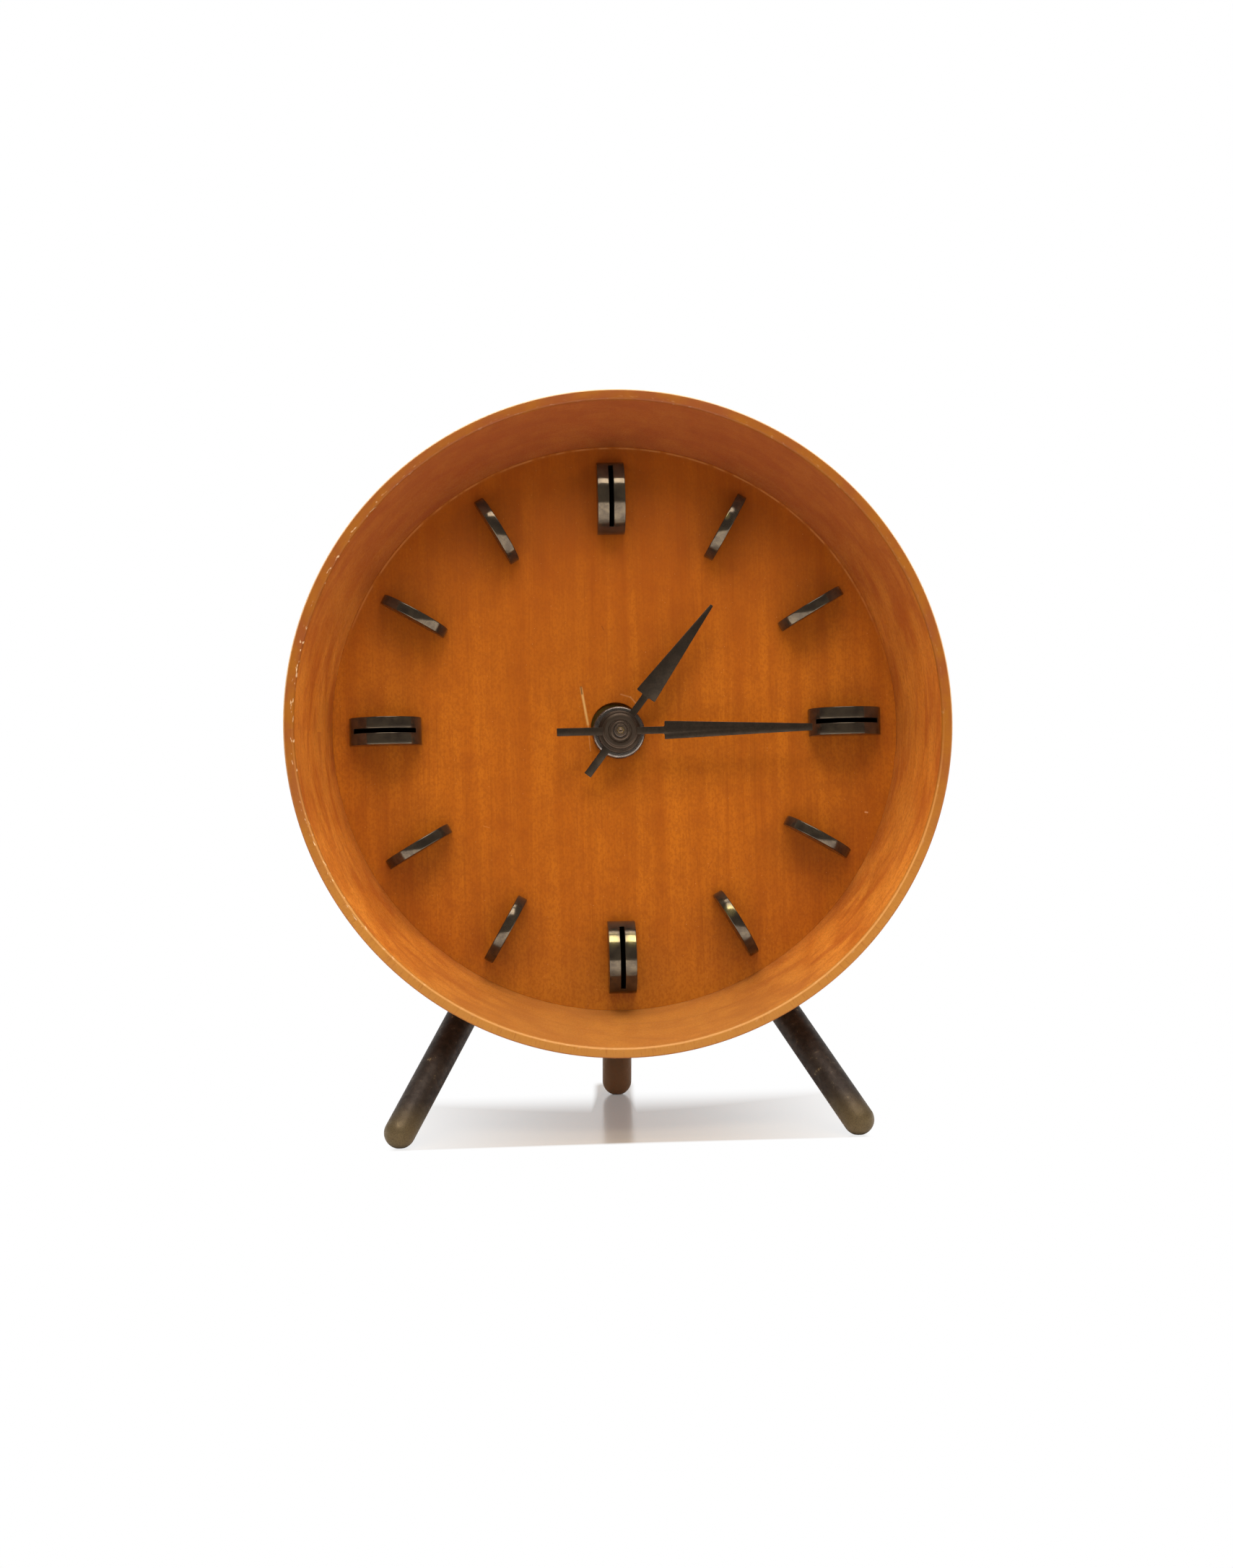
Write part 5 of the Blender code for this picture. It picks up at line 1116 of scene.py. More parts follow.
@dataclass
class Bowl:
    """The turned wooden bowl: flat lip, coned recess wall, round back and rear cavity."""

    edge: float = 0.45
    recess: float = 65.11  # radius at the dial
    web_front: float = 21.83
    web_rear: float = 25.83
    cavity: float = 40.86
    pocket: float = 46.86
    rear: float = 53.48
    back: float = 51.86
    back_edge: float = 3.0
    bulge: float = 2.8
    lip_end: float = 6.0  # mm behind the rim, where the rounded lip gives way to the flank
    flank_front: float = 7.0
    flank_lead: float = 3.0  # mm before the back's rounding, where the flank ends
    back_lead: float = 2.0
    flank_steps: int = 26
    sides: int = 256
    screw_depth: Point = (46.0, 55.0)
    screw_sides: int = 24

    def flank(self, depth: float) -> float:
        """The bowl's outer radius at a depth behind the rim."""
        share = depth / self.rear
        return RIM + (self.back - RIM) * share + 4 * self.bulge * share * (1 - share)

    def profile(self) -> list[Point]:
        """Draw the profile, from the lip's outer edge round by the recess and the back.

        Returns:
            The closed chain of radius and depth in mm.
        """
        corner = self.rear - self.back_edge
        # radius, depth and rounding in mm
        corners = [
            (self.flank(self.lip_end), self.lip_end, 0.0),
            (RIM, 0.0, self.edge),
            (RIM - LIP, 0.0, self.edge),
            (self.recess, DIAL_FRONT, 0.0),
            (self.recess, self.web_front, 0.0),
            (HUB_HOLE, self.web_front, 0.3),
            (HUB_HOLE, self.web_rear, 0.3),
            (self.cavity, self.web_rear, 1.0),
            (self.cavity, COVER_SEAT, 0.2),
            (self.pocket, COVER_SEAT, 0.2),
            (self.pocket, self.rear, 0.35),
            (self.flank(self.rear), self.rear, self.back_edge),
            (self.flank(corner), corner - self.back_lead, 0.0),
        ]
        start = corner - self.flank_lead
        run, last = self.flank_front - start, self.flank_steps - 1
        depths = [start + run * i / last for i in range(self.flank_steps)]
        return rounded(corners, 6, loop=False) + [(self.flank(depth), depth) for depth in depths]

    def build(self, wood: bpy.types.Material, legs: Legs) -> None:
        """Make the bowl and drill it.

        Args:
            wood: its material.
            legs: the legs, which give the sockets.
        """
        mesh = lathe("bowl", self.profile(), self.sides)
        mesh.transform(BOWL)
        bowl = solid(mesh, "turned_bowl")
        cutters = legs.sockets()
        for axis in screw_axes():
            cutters.append(rod("drill", SCREW_HOLE, *self.screw_depth, self.screw_sides))
            cutters[-1].transform(BOWL @ beside(axis))
        cut(bowl, cutters)
        fit(bowl, wood, Body.FRAME, Slot.BOWL, "case")


@dataclass
class Dial:
    """The round board at the bottom of the recess."""

    radius: float = 65.09
    rear: float = 21.58
    sides: int = 256

    def build(self, board: bpy.types.Material) -> None:
        """Make the dial.

        Args:
            board: its material.
        """
        # radius, depth and rounding in mm
        corners = [
            (self.radius, DIAL_FRONT, 0.03),
            (self.radius, self.rear, 0.15),
            (HUB_HOLE, self.rear, 0.15),
            (HUB_HOLE, DIAL_FRONT, 0.2),
        ]
        mesh = lathe("dial", rounded(corners), self.sides)
        mesh.transform(BOWL)
        fit(solid(mesh, "dial_board"), board, Body.FRAME, Slot.DIAL, "dial")


@dataclass
class Markers:
    """Twelve arched bars on edge, doubled by a saw slot at the quarters."""

    length: float = 16.6
    height: float = 8.3
    foot: float = 1.2
    single: float = 2.3
    double: float = 6.3
    slot: float = 1.05
    slot_floor: float = 1.0
    seat: float = 0.05
    edge: float = 0.22
    edge_steps: int = 3
    steps: int = 46
    weld: float = 1e-6  # metres

    def sizes(self, quarter: bool) -> dict[str, float]:
        """The sizes of one marker in metres, and its number of points.

        Args:
            quarter: whether it is a doubled one.

        Returns:
            A value for each input of the tree.
        """
        return {
            "Length": self.length * MM,
            "Height": self.height * MM,
            "Foot": self.foot * MM,
            "Width": (self.double if quarter else self.single) * MM,
            "Slot": self.slot * MM if quarter else 0.0,
            "Slot Floor": self.slot_floor * MM,
            "Slot Length": SLOT_LENGTH * MM,
            "Steps": self.steps,
        }

    def tree(self, bronze: bpy.types.Material) -> bpy.types.GeometryNodeTree:
        """The node tree that draws one marker, standing on its foot along Z.

        Args:
            bronze: the material that the tree sets.

        Returns:
            The tree.
        """
        inputs = dict.fromkeys(self.sizes(quarter=False), "Float")
        tree = new_tree("arched_marker", inputs | {"Steps": "Int"})
        step, node = partial(take, tree), partial(add, tree)
        given = node("NodeGroupInput").outputs
        # the outline: an arch between its first and last point, which lie at the foot
        index = node("GeometryNodeInputIndex").outputs[0]
        last = step(Step.SUBTRACT, given["Steps"], 1.0)
        share = step(Step.DIVIDE, step(Step.SUBTRACT, index, 1.0), step(Step.SUBTRACT, last, 2.0))
        angle = step(Step.MULTIPLY, step(Step.CLAMP, share, 0.0, 1.0), math.pi)
        half = step(Step.DIVIDE, given["Length"], 2.0)
        rise = step(Step.SUBTRACT, given["Height"], given["Foot"])
        inside = step(Step.MULTIPLY, step(Step.GREATER, index, 0.5),
                      step(Step.LESS, index, step(Step.SUBTRACT, last, 0.5)))
        up = step(Step.ADD, step(Step.MULTIPLY, rise, step(Step.SINE, angle)), given["Foot"])
        across = step(Step.MULTIPLY, half, step(Step.MULTIPLY, step(Step.COSINE, angle), -1.0))
        depth = step(Step.MULTIPLY, step(Step.MULTIPLY, up, inside), -1.0)
        line = node("GeometryNodeMeshLine", None, {"Count": given["Steps"]}).outputs[0]
        place = step(Step.VECTOR, across, depth)
        bent = node("GeometryNodeSetPosition", None,
                    {"Geometry": line, "Position": place}).outputs[0]
        curve = node("GeometryNodeMeshToCurve", None, {"Mesh": bent}).outputs[0]
        closed = node("GeometryNodeSetSplineCyclic", None,
                      {"Geometry": curve, "Cyclic": True}).outputs[0]
        # the bar: the outline filled, pulled out to the bar's width, welded and centred
        face = node("GeometryNodeFillCurve", {"mode": "NGONS"}, {"Curve": closed}).outputs[0]
        out = step(Step.VECTOR, 0.0, 0.0, given["Width"])
        pulled = node(
            "GeometryNodeExtrudeMesh", None,
            {"Mesh": face, "Offset": out, "Offset Scale": 1.0, "Individual": False},
        ).outputs[0]
        flipped = node("GeometryNodeFlipFaces", None, {"Mesh": face}).outputs[0]
        both = node("GeometryNodeJoinGeometry", None, {"Geometry": flipped})
        tree.links.new(pulled, both.inputs["Geometry"])
        welded = node("GeometryNodeMergeByDistance", None,
                      {"Geometry": both.outputs[0], "Distance": self.weld}).outputs[0]
        back = step(Step.VECTOR, 0.0, 0.0, step(Step.DIVIDE, given["Width"], -2.0))
        bar = step(Step.MOVE, welded, back)
        # the saw slot, where the marker has one
        tall = step(Step.MULTIPLY, given["Height"], 2.0)
        size = step(Step.VECTOR, given["Slot Length"], tall, given["Slot"])
        blade = node("GeometryNodeMeshCube", None, {"Size": size}).outputs["Mesh"]
        drop = step(Step.MULTIPLY, step(Step.ADD, given["Slot Floor"], given["Height"]), -1.0)
        sunk = step(Step.VECTOR, 0.0, drop)
        saw = step(Step.MOVE, blade, sunk)
        sawn = node("GeometryNodeMeshBoolean", {"operation": "DIFFERENCE", "solver": "EXACT"},
                    {0: bar, 1: saw}).outputs[0]
        wanted = step(Step.GREATER, given["Slot"], self.weld)
        choice = node("GeometryNodeSwitch", {"input_type": "GEOMETRY"},
                      {"Switch": wanted, "False": bar, "True": sawn}).outputs[0]
        end_tree(tree, step(Step.STAND, choice, (0.0, -math.pi / 2, 0.0)), bronze)
        return tree

    def build(self, bronze: bpy.types.Material) -> None:
        """Make the twelve markers.

        Args:
            bronze: their material.
        """
        tree = self.tree(bronze)
        lift = Matrix.Translation(Vector((0.0, DIAL_FRONT - self.seat, MARKER_RING)) * MM)
        for hour in range(1, 13):
            marker = drawn(f"arched_marker_{hour:02d}", tree, self.sizes(quarter=hour % 3 == 0))
            break_edges(marker, self.edge, self.edge_steps)
            turn = Matrix.Rotation(math.tau * hour / 12, 4, "Y")
            marker.data.transform(BOWL @ turn @ lift)
            fit(marker, bronze, Body.FRAME, Slot.MARKER, f"hour_marker_{hour:02d}")


@dataclass
class Hand:
    """A flat hand on a turned boss: square tail, narrow neck and a tapering blade."""

    name: str
    node: str
    body: Body
    angle: float  # degrees clockwise from the top
    length: float
    blade: float
    tip: float
    tail: float
    boss: float
    boss_front: float
    boss_rear: float
    bore: float
    neck: float = 1.65
    tail_width: float = 1.8
    blade_start: float = 10.2
    shoulder: float = 2.0  # mm of plain neck before the blade
    thickness: float = 0.5
    edge: float = 0.1
    play: float = 0.05  # in the bore, and between the boss and the blade's round
    ledge: Point = (0.42, 0.42)  # mm in from the boss's edge and back from its front
    ledge_foot: Point = (0.32, 0.3)
    collet: float = 0.0  # radius of the raised ring, where there is one
    collet_front: float = 0.0
    groove: Place = (0.55, 0.45, 0.14)  # its edges from the raised ring, and its depth
    boss_sides: int = 96
    hole_sides: int = 40
    round_steps: int = 30

    def outline(self) -> list[Point]:
        """Draw the hand's flat outline, pointing up.

        Returns:
            Its points as x and z in mm.
        """
        low = -math.acos(self.tail_width / 2 / self.boss)
        high = math.acos(self.neck / 2 / self.boss)
        right = [(self.tail_width / 2, -self.tail)]
        right += arc((0.0, 0.0), self.boss, low, high - low, self.round_steps)
        shoulder = [
            (self.neck / 2, self.blade_start - self.shoulder, 0.0),
            (self.neck / 2, self.blade_start, 0.45),
            (self.blade / 2, self.blade_start, 0.3),
            (self.tip / 2, self.length, 0.0),
        ]
        right += rounded(shoulder, 5, loop=False)
        return right + [(-x, z) for x, z in reversed(right)]

    def boss_profile(self) -> list[Point]:
        """Draw the boss's profile: a turned step, a shallow groove and soft edges.

        Returns:
            The closed chain of radius and depth in mm.
        """
        front, rear = self.boss_front, self.boss_rear
        edge, bore = self.boss - self.play, self.bore + self.play
        # radius, depth and rounding in mm
        corners = [
            (edge, rear, 0.12),
            (edge, front + self.ledge[1], 0.1),
            (edge - self.ledge_foot[0], front + self.ledge_foot[1], 0.1),
            (edge - self.ledge[0], front, 0.14),
        ]
        if self.collet:
            outer, inner, sunk = self.groove
            corners += [
                (self.collet + outer, front, 0.06),
                (self.collet + inner, front + sunk, 0.05),
                (self.collet, front + sunk, 0.05),
                (self.collet, self.collet_front, 0.16),
                (bore, self.collet_front, 0.1),
            ]
        else:
            corners.append((bore, front, 0.1))
        corners.append((bore, rear, 0.1))
        return rounded(corners)

    def build(self, bronze: bpy.types.Material) -> None:
        """Make the hand.

        Args:
            bronze: its material.
        """
        near = self.boss_front + (self.boss_rear - self.boss_front - self.thickness) / 2
        hole = arc((0.0, 0.0), self.bore + self.play, 0.0, math.tau, self.hole_sides)[:-1]
        sheet = plate(self.name, [self.outline(), hole], near, near + self.thickness)
        hand = solid(sheet, self.name)
        break_edges(hand, self.edge, 2)
        join(hand, solid(lathe("boss", self.boss_profile(), self.boss_sides), "boss"))
        smooth(hand.data)
        turn = Matrix.Rotation(math.radians(self.angle), 4, "Y")
        hand.data.transform(BOWL @ beside(HUB) @ turn)
        fit(hand, bronze, self.body, Slot.HAND, self.node)


# a quarter past one, as in the photograph
HANDS = (
    Hand("hour_hand_piece", "hour_hand", Body.HOUR, angle=37.5, length=36.1, blade=5.1, tip=0.7,
         tail=12.4, boss=4.9, boss_front=13.63, boss_rear=15.63, bore=2.2),
    Hand("minute_hand_piece", "minute_hand", Body.MINUTE, angle=90.0, length=44.1, blade=4.2,
         tip=1.6, tail=14.4, boss=4.1, boss_front=11.23, boss_rear=13.13, bore=1.5,
         collet=2.15, collet_front=10.13),
)


@dataclass
class Hub:
    """What shows in the middle of the dial besides the hands: ring nut and tube end."""

    nut: float = 6.0
    nut_front: float = 16.33
    nut_rear: float = 18.93
    bore: float = 4.25
    notch_width: float = 1.3
    notch_depth: float = 1.0
    notch_angles: Point = (50.0, 230.0)
    cutter_lead: float = 1.0
    nut_sides: int = 128
    tube: float = 0.6
    tube_bore: float = 0.34
    tube_floor: float = 0.5
    cone: float = 0.05  # mm that the drill's cone is deeper
    cap: float = 1.45
    cap_drop: float = 0.2
    cap_fillet: float = 0.08
    tube_front: float = 9.1
    tube_rear: float = 10.3
    tube_sides: int = 40

    def build_nut(self, steel: bpy.types.Material) -> None:
        """Make the ring nut with its two notches.

        Args:
            steel: its material.
        """
        # radius, depth and rounding in mm
        corners = [
            (self.nut, self.nut_front, 0.6),
            (self.nut, self.nut_rear, 0.12),
            (self.bore, self.nut_rear, 0.2),
            (self.bore, self.nut_front, 0.2),
        ]
        nut = solid(lathe("ring_nut", rounded(corners), self.nut_sides), "ring_nut")
        lead = self.cutter_lead
        notch = block(self.nut - self.notch_depth, self.nut + lead, self.notch_width / 2)
        cutters = []
        for angle in self.notch_angles:
            cutters.append(plate("notch", [notch], self.nut_front - lead, self.nut_rear + lead))
            cutters[-1].transform(Matrix.Rotation(-math.radians(angle), 4, "Y"))
        cut(nut, cutters)
        nut.data.transform(BOWL @ beside(HUB))
        fit(nut, steel, Body.FRAME, Slot.BLACK, "fixing_nut")

    def build_tube(self, bronze: bpy.types.Material) -> None:
        """Make the end of the minute hand's tube, with its cap and its blind bore.

        Args:
            bronze: its material.
        """
        front = self.tube_front
        # radius, depth and rounding in mm
        corners = [
            (self.cap, front + self.cap_drop, 0.08),
            (self.cap, self.tube_rear, 0.05),
            (0.0, self.tube_rear, 0.0),
            (0.0, front + self.tube_floor + self.cone, 0.0),
            (self.tube_bore, front + self.tube_floor, 0.04),
            (self.tube_bore, front, 0.06),
            (self.tube, front, 0.08),
            (self.tube + self.cap_fillet, front + self.cap_drop, 0.03),
        ]
        profile = rounded(corners)
        # the chain has to start and end on the axis
        start = next(i for i, point in enumerate(profile) if point[0] == 0.0)
        chain = profile[start + 1 :] + profile[: start + 1]
        tube = solid(lathe("tube_end", chain, self.tube_sides), "arbor_tube_end")
        tube.data.transform(BOWL @ beside(HUB))
        fit(tube, bronze, Body.MINUTE, Slot.HAND)


@dataclass
class Back:
    """The round back cover with its screws, the winding key and the setting knob."""

    cover: float = 46.66
    cover_sides: int = 256
    groove: tuple[float, ...] = (6.4, 6.7, 7.3, 7.6)  # mm in from the edge
    groove_depth: float = 0.35
    dish: Point = (10.0, 11.4)
    dish_depth: float = 0.5
    hole_play: float = 0.6
    cutter_lead: float = 1.0
    small_sides: int = 48
    screw_head: float = 2.3
    screw_seat: float = 0.02
    screw_rise: float = 1.15
    screw_side: float = 0.45  # mm, the upright part of the head
    crown: Point = (0.62, 0.08)  # share of the head's radius, and mm below its top
    screw_slot: float = 0.55
    slot_reach: float = 4.0
    slot_floor: float = 0.5
    slot_angle: float = math.radians(35)
    stem: float = 3.0
    stem_sides: int = 64
    stem_end: float = 62.23
    neck: float = 0.5  # mm that the stem's waist is thinner
    neck_run: tuple[float, ...] = (3.6, 3.0, 1.6, 1.0)  # mm before the stem's end
    dome: Point = (0.2, 0.8)  # mm past the stem's end, at its edge and in its middle
    bow: float = 1.8
    bow_edge: float = 0.35
    lobe: float = 4.6
    lobe_hole: float = 2.0
    lobe_spread: float = 6.6
    lobe_steps: int = 40
    lobe_hole_sides: int = 36
    waist: float = math.radians(130)  # either side of a lobe's outer end
    knob: float = 6.0
    knob_sides: int = 96
    knob_front: float = 54.83
    knob_rise: float = 4.0
    knob_stem: float = 2.2
    knob_dish: Point = (1.6, 2.2)  # mm in from the knob's edge
    dish_floor: Point = (0.3, 0.15)  # mm below the knob's face, at its edge and in its middle
    flutes: int = 36
    rib_rise: float = 0.35
    rib_shoulder: float = 0.12
    rib_root: float = 0.4
    rib_share: float = 0.62  # of the room that each rib has
    rib_ends: Point = (0.35, 0.6)

    def build_cover(self, metal: bpy.types.Material) -> None:
        """Make the spun cover, with a raised edge, a groove, a dish and its holes.

        Args:
            metal: its material.
        """
        far, near = COVER_REAR, COVER_FRONT
        groove = [self.cover - inset for inset in self.groove]
        # radius, depth and rounding in mm
        corners = [
            (0.0, near, 0.0),
            (self.cover, near, 0.2),
            (self.cover, far, 0.4),
            (groove[0], far, 0.15),
            (groove[1], far - self.groove_depth, 0.15),
            (groove[2], far - self.groove_depth, 0.15),
            (groove[3], far, 0.15),
            (self.cover - self.dish[0], far, 0.8),
            (self.cover - self.dish[1], far - self.dish_depth, 0.8),
            (0.0, far - self.dish_depth, 0.0),
        ]
        profile = rounded(corners, loop=False)
        cover = solid(lathe("back_cover", profile, self.cover_sides), "spun_back_cover")
        holes = [(BARREL, self.stem + self.hole_play), (HUB, self.knob_stem + self.hole_play)]
        holes += [(axis, SCREW_HOLE) for axis in screw_axes()]
        cutters = []
        for axis, radius in holes:
            cutters.append(rod("drill", radius, near - self.cutter_lead, far + self.cutter_lead,
                               self.small_sides))
            cutters[-1].transform(beside(axis))
        cut(cover, cutters)
        cover.data.transform(BOWL)
        fit(cover, metal, Body.FRAME, Slot.COVER, "back_cover")

    def ring_tree(
        self, part: bpy.types.Object, material: bpy.types.Material
    ) -> bpy.types.GeometryNodeTree:
        """A tree that sets copies of a part round the Y axis.

        Args:
            part: the object that is repeated.
            material: what the copies are made of.

        Returns:
            The tree.
        """
        tree = new_tree("round_the_axis", {"Count": "Int", "Radius": "Float", "Start": "Float"})
        step, node = partial(take, tree), partial(add, tree)
        given = node("NodeGroupInput").outputs
        index = node("GeometryNodeInputIndex").outputs[0]
        turn = step(Step.DIVIDE, math.tau, given["Count"])
        angle = step(Step.MULTIPLY_ADD, index, turn, given["Start"])
        turned = step(Step.VECTOR, 0.0, step(Step.MULTIPLY, angle, -1.0))
        spot = step(Step.TURN, step(Step.VECTOR, given["Radius"]), turned)
        points = node("GeometryNodePoints", None,
                      {"Count": given["Count"], "Position": spot}).outputs[0]
        copy = node("GeometryNodeObjectInfo", None, {"Object": part}).outputs["Geometry"]
        ring = node("GeometryNodeInstanceOnPoints", None,
                    {"Points": points, "Instance": copy, "Rotation": turned}).outputs[0]
        end_tree(tree, ring, material)
        return tree

    def repeated(self, name: str, part: bpy.types.Object, sizes: dict[str, float],
                 material: bpy.types.Material) -> bpy.types.Object:
        """A piece made of copies of a part round the Y axis.

        Args:
            name: the piece's name.
            part: the part, which is used up.
            sizes: the copies' count, radius in metres and start in radians.
            material: what they are made of.

        Returns:
            The piece.
        """
        piece = drawn(name, self.ring_tree(part, material), sizes)
        smooth(piece.data)
        bpy.data.objects.remove(part)
        return piece

    def build_screws(self, steel: bpy.types.Material) -> None:
        """Make the cover's slotted screws.

        Args:
            steel: their material.
        """
        seat = COVER_REAR + self.screw_seat
        top = seat + self.screw_rise
        share, drop = self.crown
        # radius, depth and rounding in mm
        corners = [
            (0.0, seat, 0.0),
            (self.screw_head, seat, 0.05),
            (self.screw_head, seat + self.screw_side, 0.3),
            (self.screw_head * share, top - drop, 0.7),
            (0.0, top, 0.0),
        ]
        profile = rounded(corners, 6, loop=False)
        head = solid(lathe("screw_head", profile, self.small_sides), "screw_head")
        slot = block(-self.slot_reach, self.slot_reach, self.screw_slot / 2)
        tool = plate("slot", [slot], seat + self.slot_floor, top + self.cutter_lead)
        tool.transform(Matrix.Rotation(self.slot_angle, 4, "Y"))
        cut(head, [tool])
        sizes = {"Count": SCREW_COUNT, "Radius": SCREW_RING * MM, "Start": math.pi / 2}
        screws = self.repeated("cover_screws", head, sizes, steel)
        screws.data.transform(BOWL)
        nodes = [f"cover_screw_{i}" for i in range(1, SCREW_COUNT + 1)]
        fit(screws, steel, Body.FRAME, Slot.STEEL, *nodes)

    def build_key(self, brass: bpy.types.Material) -> None:
        """Make the winding key: a turned stem and a bow of two pierced lobes.

        Args:
            brass: its material.
        """
        far, neck = self.stem_end, self.stem - self.neck
        run = [far - before for before in self.neck_run]
        # radius, depth and rounding in mm
        corners = [
            (0.0, COVER_SEAT, 0.0),
            (self.stem, COVER_SEAT, 0.3),
            (self.stem, run[0], 0.2),
            (neck, run[1], 0.2),
            (neck, run[2], 0.2),
            (self.stem, run[3], 0.2),
            (self.stem, far + self.dome[0], 0.7),
            (0.0, far + self.dome[1], 0.0),
        ]
        profile = rounded(corners, 5, loop=False)
        key = solid(lathe("key_stem", profile, self.stem_sides), "winding_key_piece")
        middle = far + self.lobe / 2
        outline: list[Point] = []
        holes = []
        for side in (0.0, math.pi):
            centre = (self.lobe_spread * math.cos(side), middle + self.lobe_spread * math.sin(side))
            outline += arc(centre, self.lobe, side - self.waist, 2 * self.waist, self.lobe_steps)
            holes.append(arc(centre, self.lobe_hole, 0.0, math.tau, self.lobe_hole_sides)[:-1])
        bow = solid(plate("key_bow", [outline, *holes], -self.bow / 2, self.bow / 2), "key_bow")
        break_edges(bow, self.bow_edge, 3)
        # the plate lies across Y, and its outline's second axis becomes the depth
        mirror = Matrix.Scale(-1, 4, (0, 0, 1))
        bow.data.transform(Matrix.Rotation(math.pi / 2, 4, "X") @ mirror)
        bow.data.flip_normals()
        join(key, bow)
        smooth(key.data)
        key.data.transform(BOWL @ beside(BARREL))
        fit(key, brass, Body.WINDING, Slot.KEY, "winding_key")

    def build_knob(self, brass: bpy.types.Material) -> None:
        """Make the setting knob: a disc with a milled edge on a short stem.

        Args:
            brass: its material.
        """
        near, far = self.knob_front, self.knob_front + self.knob_rise
        edge = self.knob - self.rib_rise
        # radius, depth and rounding in mm
        corners = [
            (0.0, COVER_SEAT, 0.0),
            (self.knob_stem, COVER_SEAT, 0.2),
            (self.knob_stem, near, 0.3),
            (edge, near, 0.3),
            (edge, far, 0.5),
            (edge - self.knob_dish[0], far, 0.3),
            (edge - self.knob_dish[1], far - self.dish_floor[0], 0.3),
            (0.0, far - self.dish_floor[1], 0.0),
        ]
        profile = rounded(corners, 5, loop=False)
        knob = solid(lathe("knob_body", profile, self.knob_sides), "milled_setting_knob")
        half = math.pi * edge / self.flutes * self.rib_share
        rib = block(-self.rib_root, self.rib_shoulder, half)
        rib.insert(2, (self.rib_rise, 0.0))
        rib_near, rib_far = near + self.rib_ends[0], far - self.rib_ends[1]
        tooth = solid(plate("rib", [rib], rib_near, rib_far), "rib")
        sizes = {"Count": self.flutes, "Radius": edge * MM, "Start": 0.0}
        join(knob, self.repeated("milled_edge", tooth, sizes, brass))
        knob.data.transform(BOWL @ beside(HUB))
        fit(knob, brass, Body.MINUTE, Slot.KEY, "setting_knob")


class Movement:
    """The key-wound movement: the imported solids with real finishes."""

    metals: dict[str, AgedMetal] = {
        # how a node's name starts, and what it is made of
        "mounting_plate": PLATE_BRASS,
        "front_plate": PLATE_BRASS,
        "back_plate": PLATE_BRASS,
        "movement_pillar": PLATE_BRASS,
        "mainspring_barrel": WHEEL_BRASS,
        "mainspring": BLUE_STEEL,
        "barrel_arbor": PLAIN_STEEL,
        "ratchet_wheel": PLAIN_STEEL,
        "click_spring": BLUE_STEEL,
        "click": PLAIN_STEEL,
        "balance_cock": PLATE_BRASS,
        "pallet_lever": PLAIN_STEEL,
        "hairspring": BLUE_STEEL,
        "regulator": PLAIN_STEEL,
        "cannon_pinion": PLAIN_STEEL,
    }

    def dress(
        self, nodes: dict[str, bpy.types.Object], looks: dict[str, bpy.types.Material]
    ) -> None:
        """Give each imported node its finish; what the table doesn't name is wheel brass.

        Args:
            nodes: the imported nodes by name.
            looks: the metal materials by name.
        """
        for name, node in nodes.items():
            found = (metal for start, metal in self.metals.items() if name.startswith(start))
            metal = next(found, WHEEL_BRASS)
            node.data.materials.clear()
            node.data.materials.append(looks[metal.name])
            LOG.info("%s: %s", name, metal.name)


@dataclass(frozen=True)
class SoftBox:
    """A lamp behind a square of cloth, aimed at the clock."""

    name: str
    place: Place  # metres
    size: Point  # metres
    power: float  # watts
    mirrored: bool = True  # whether polished pieces mirror it


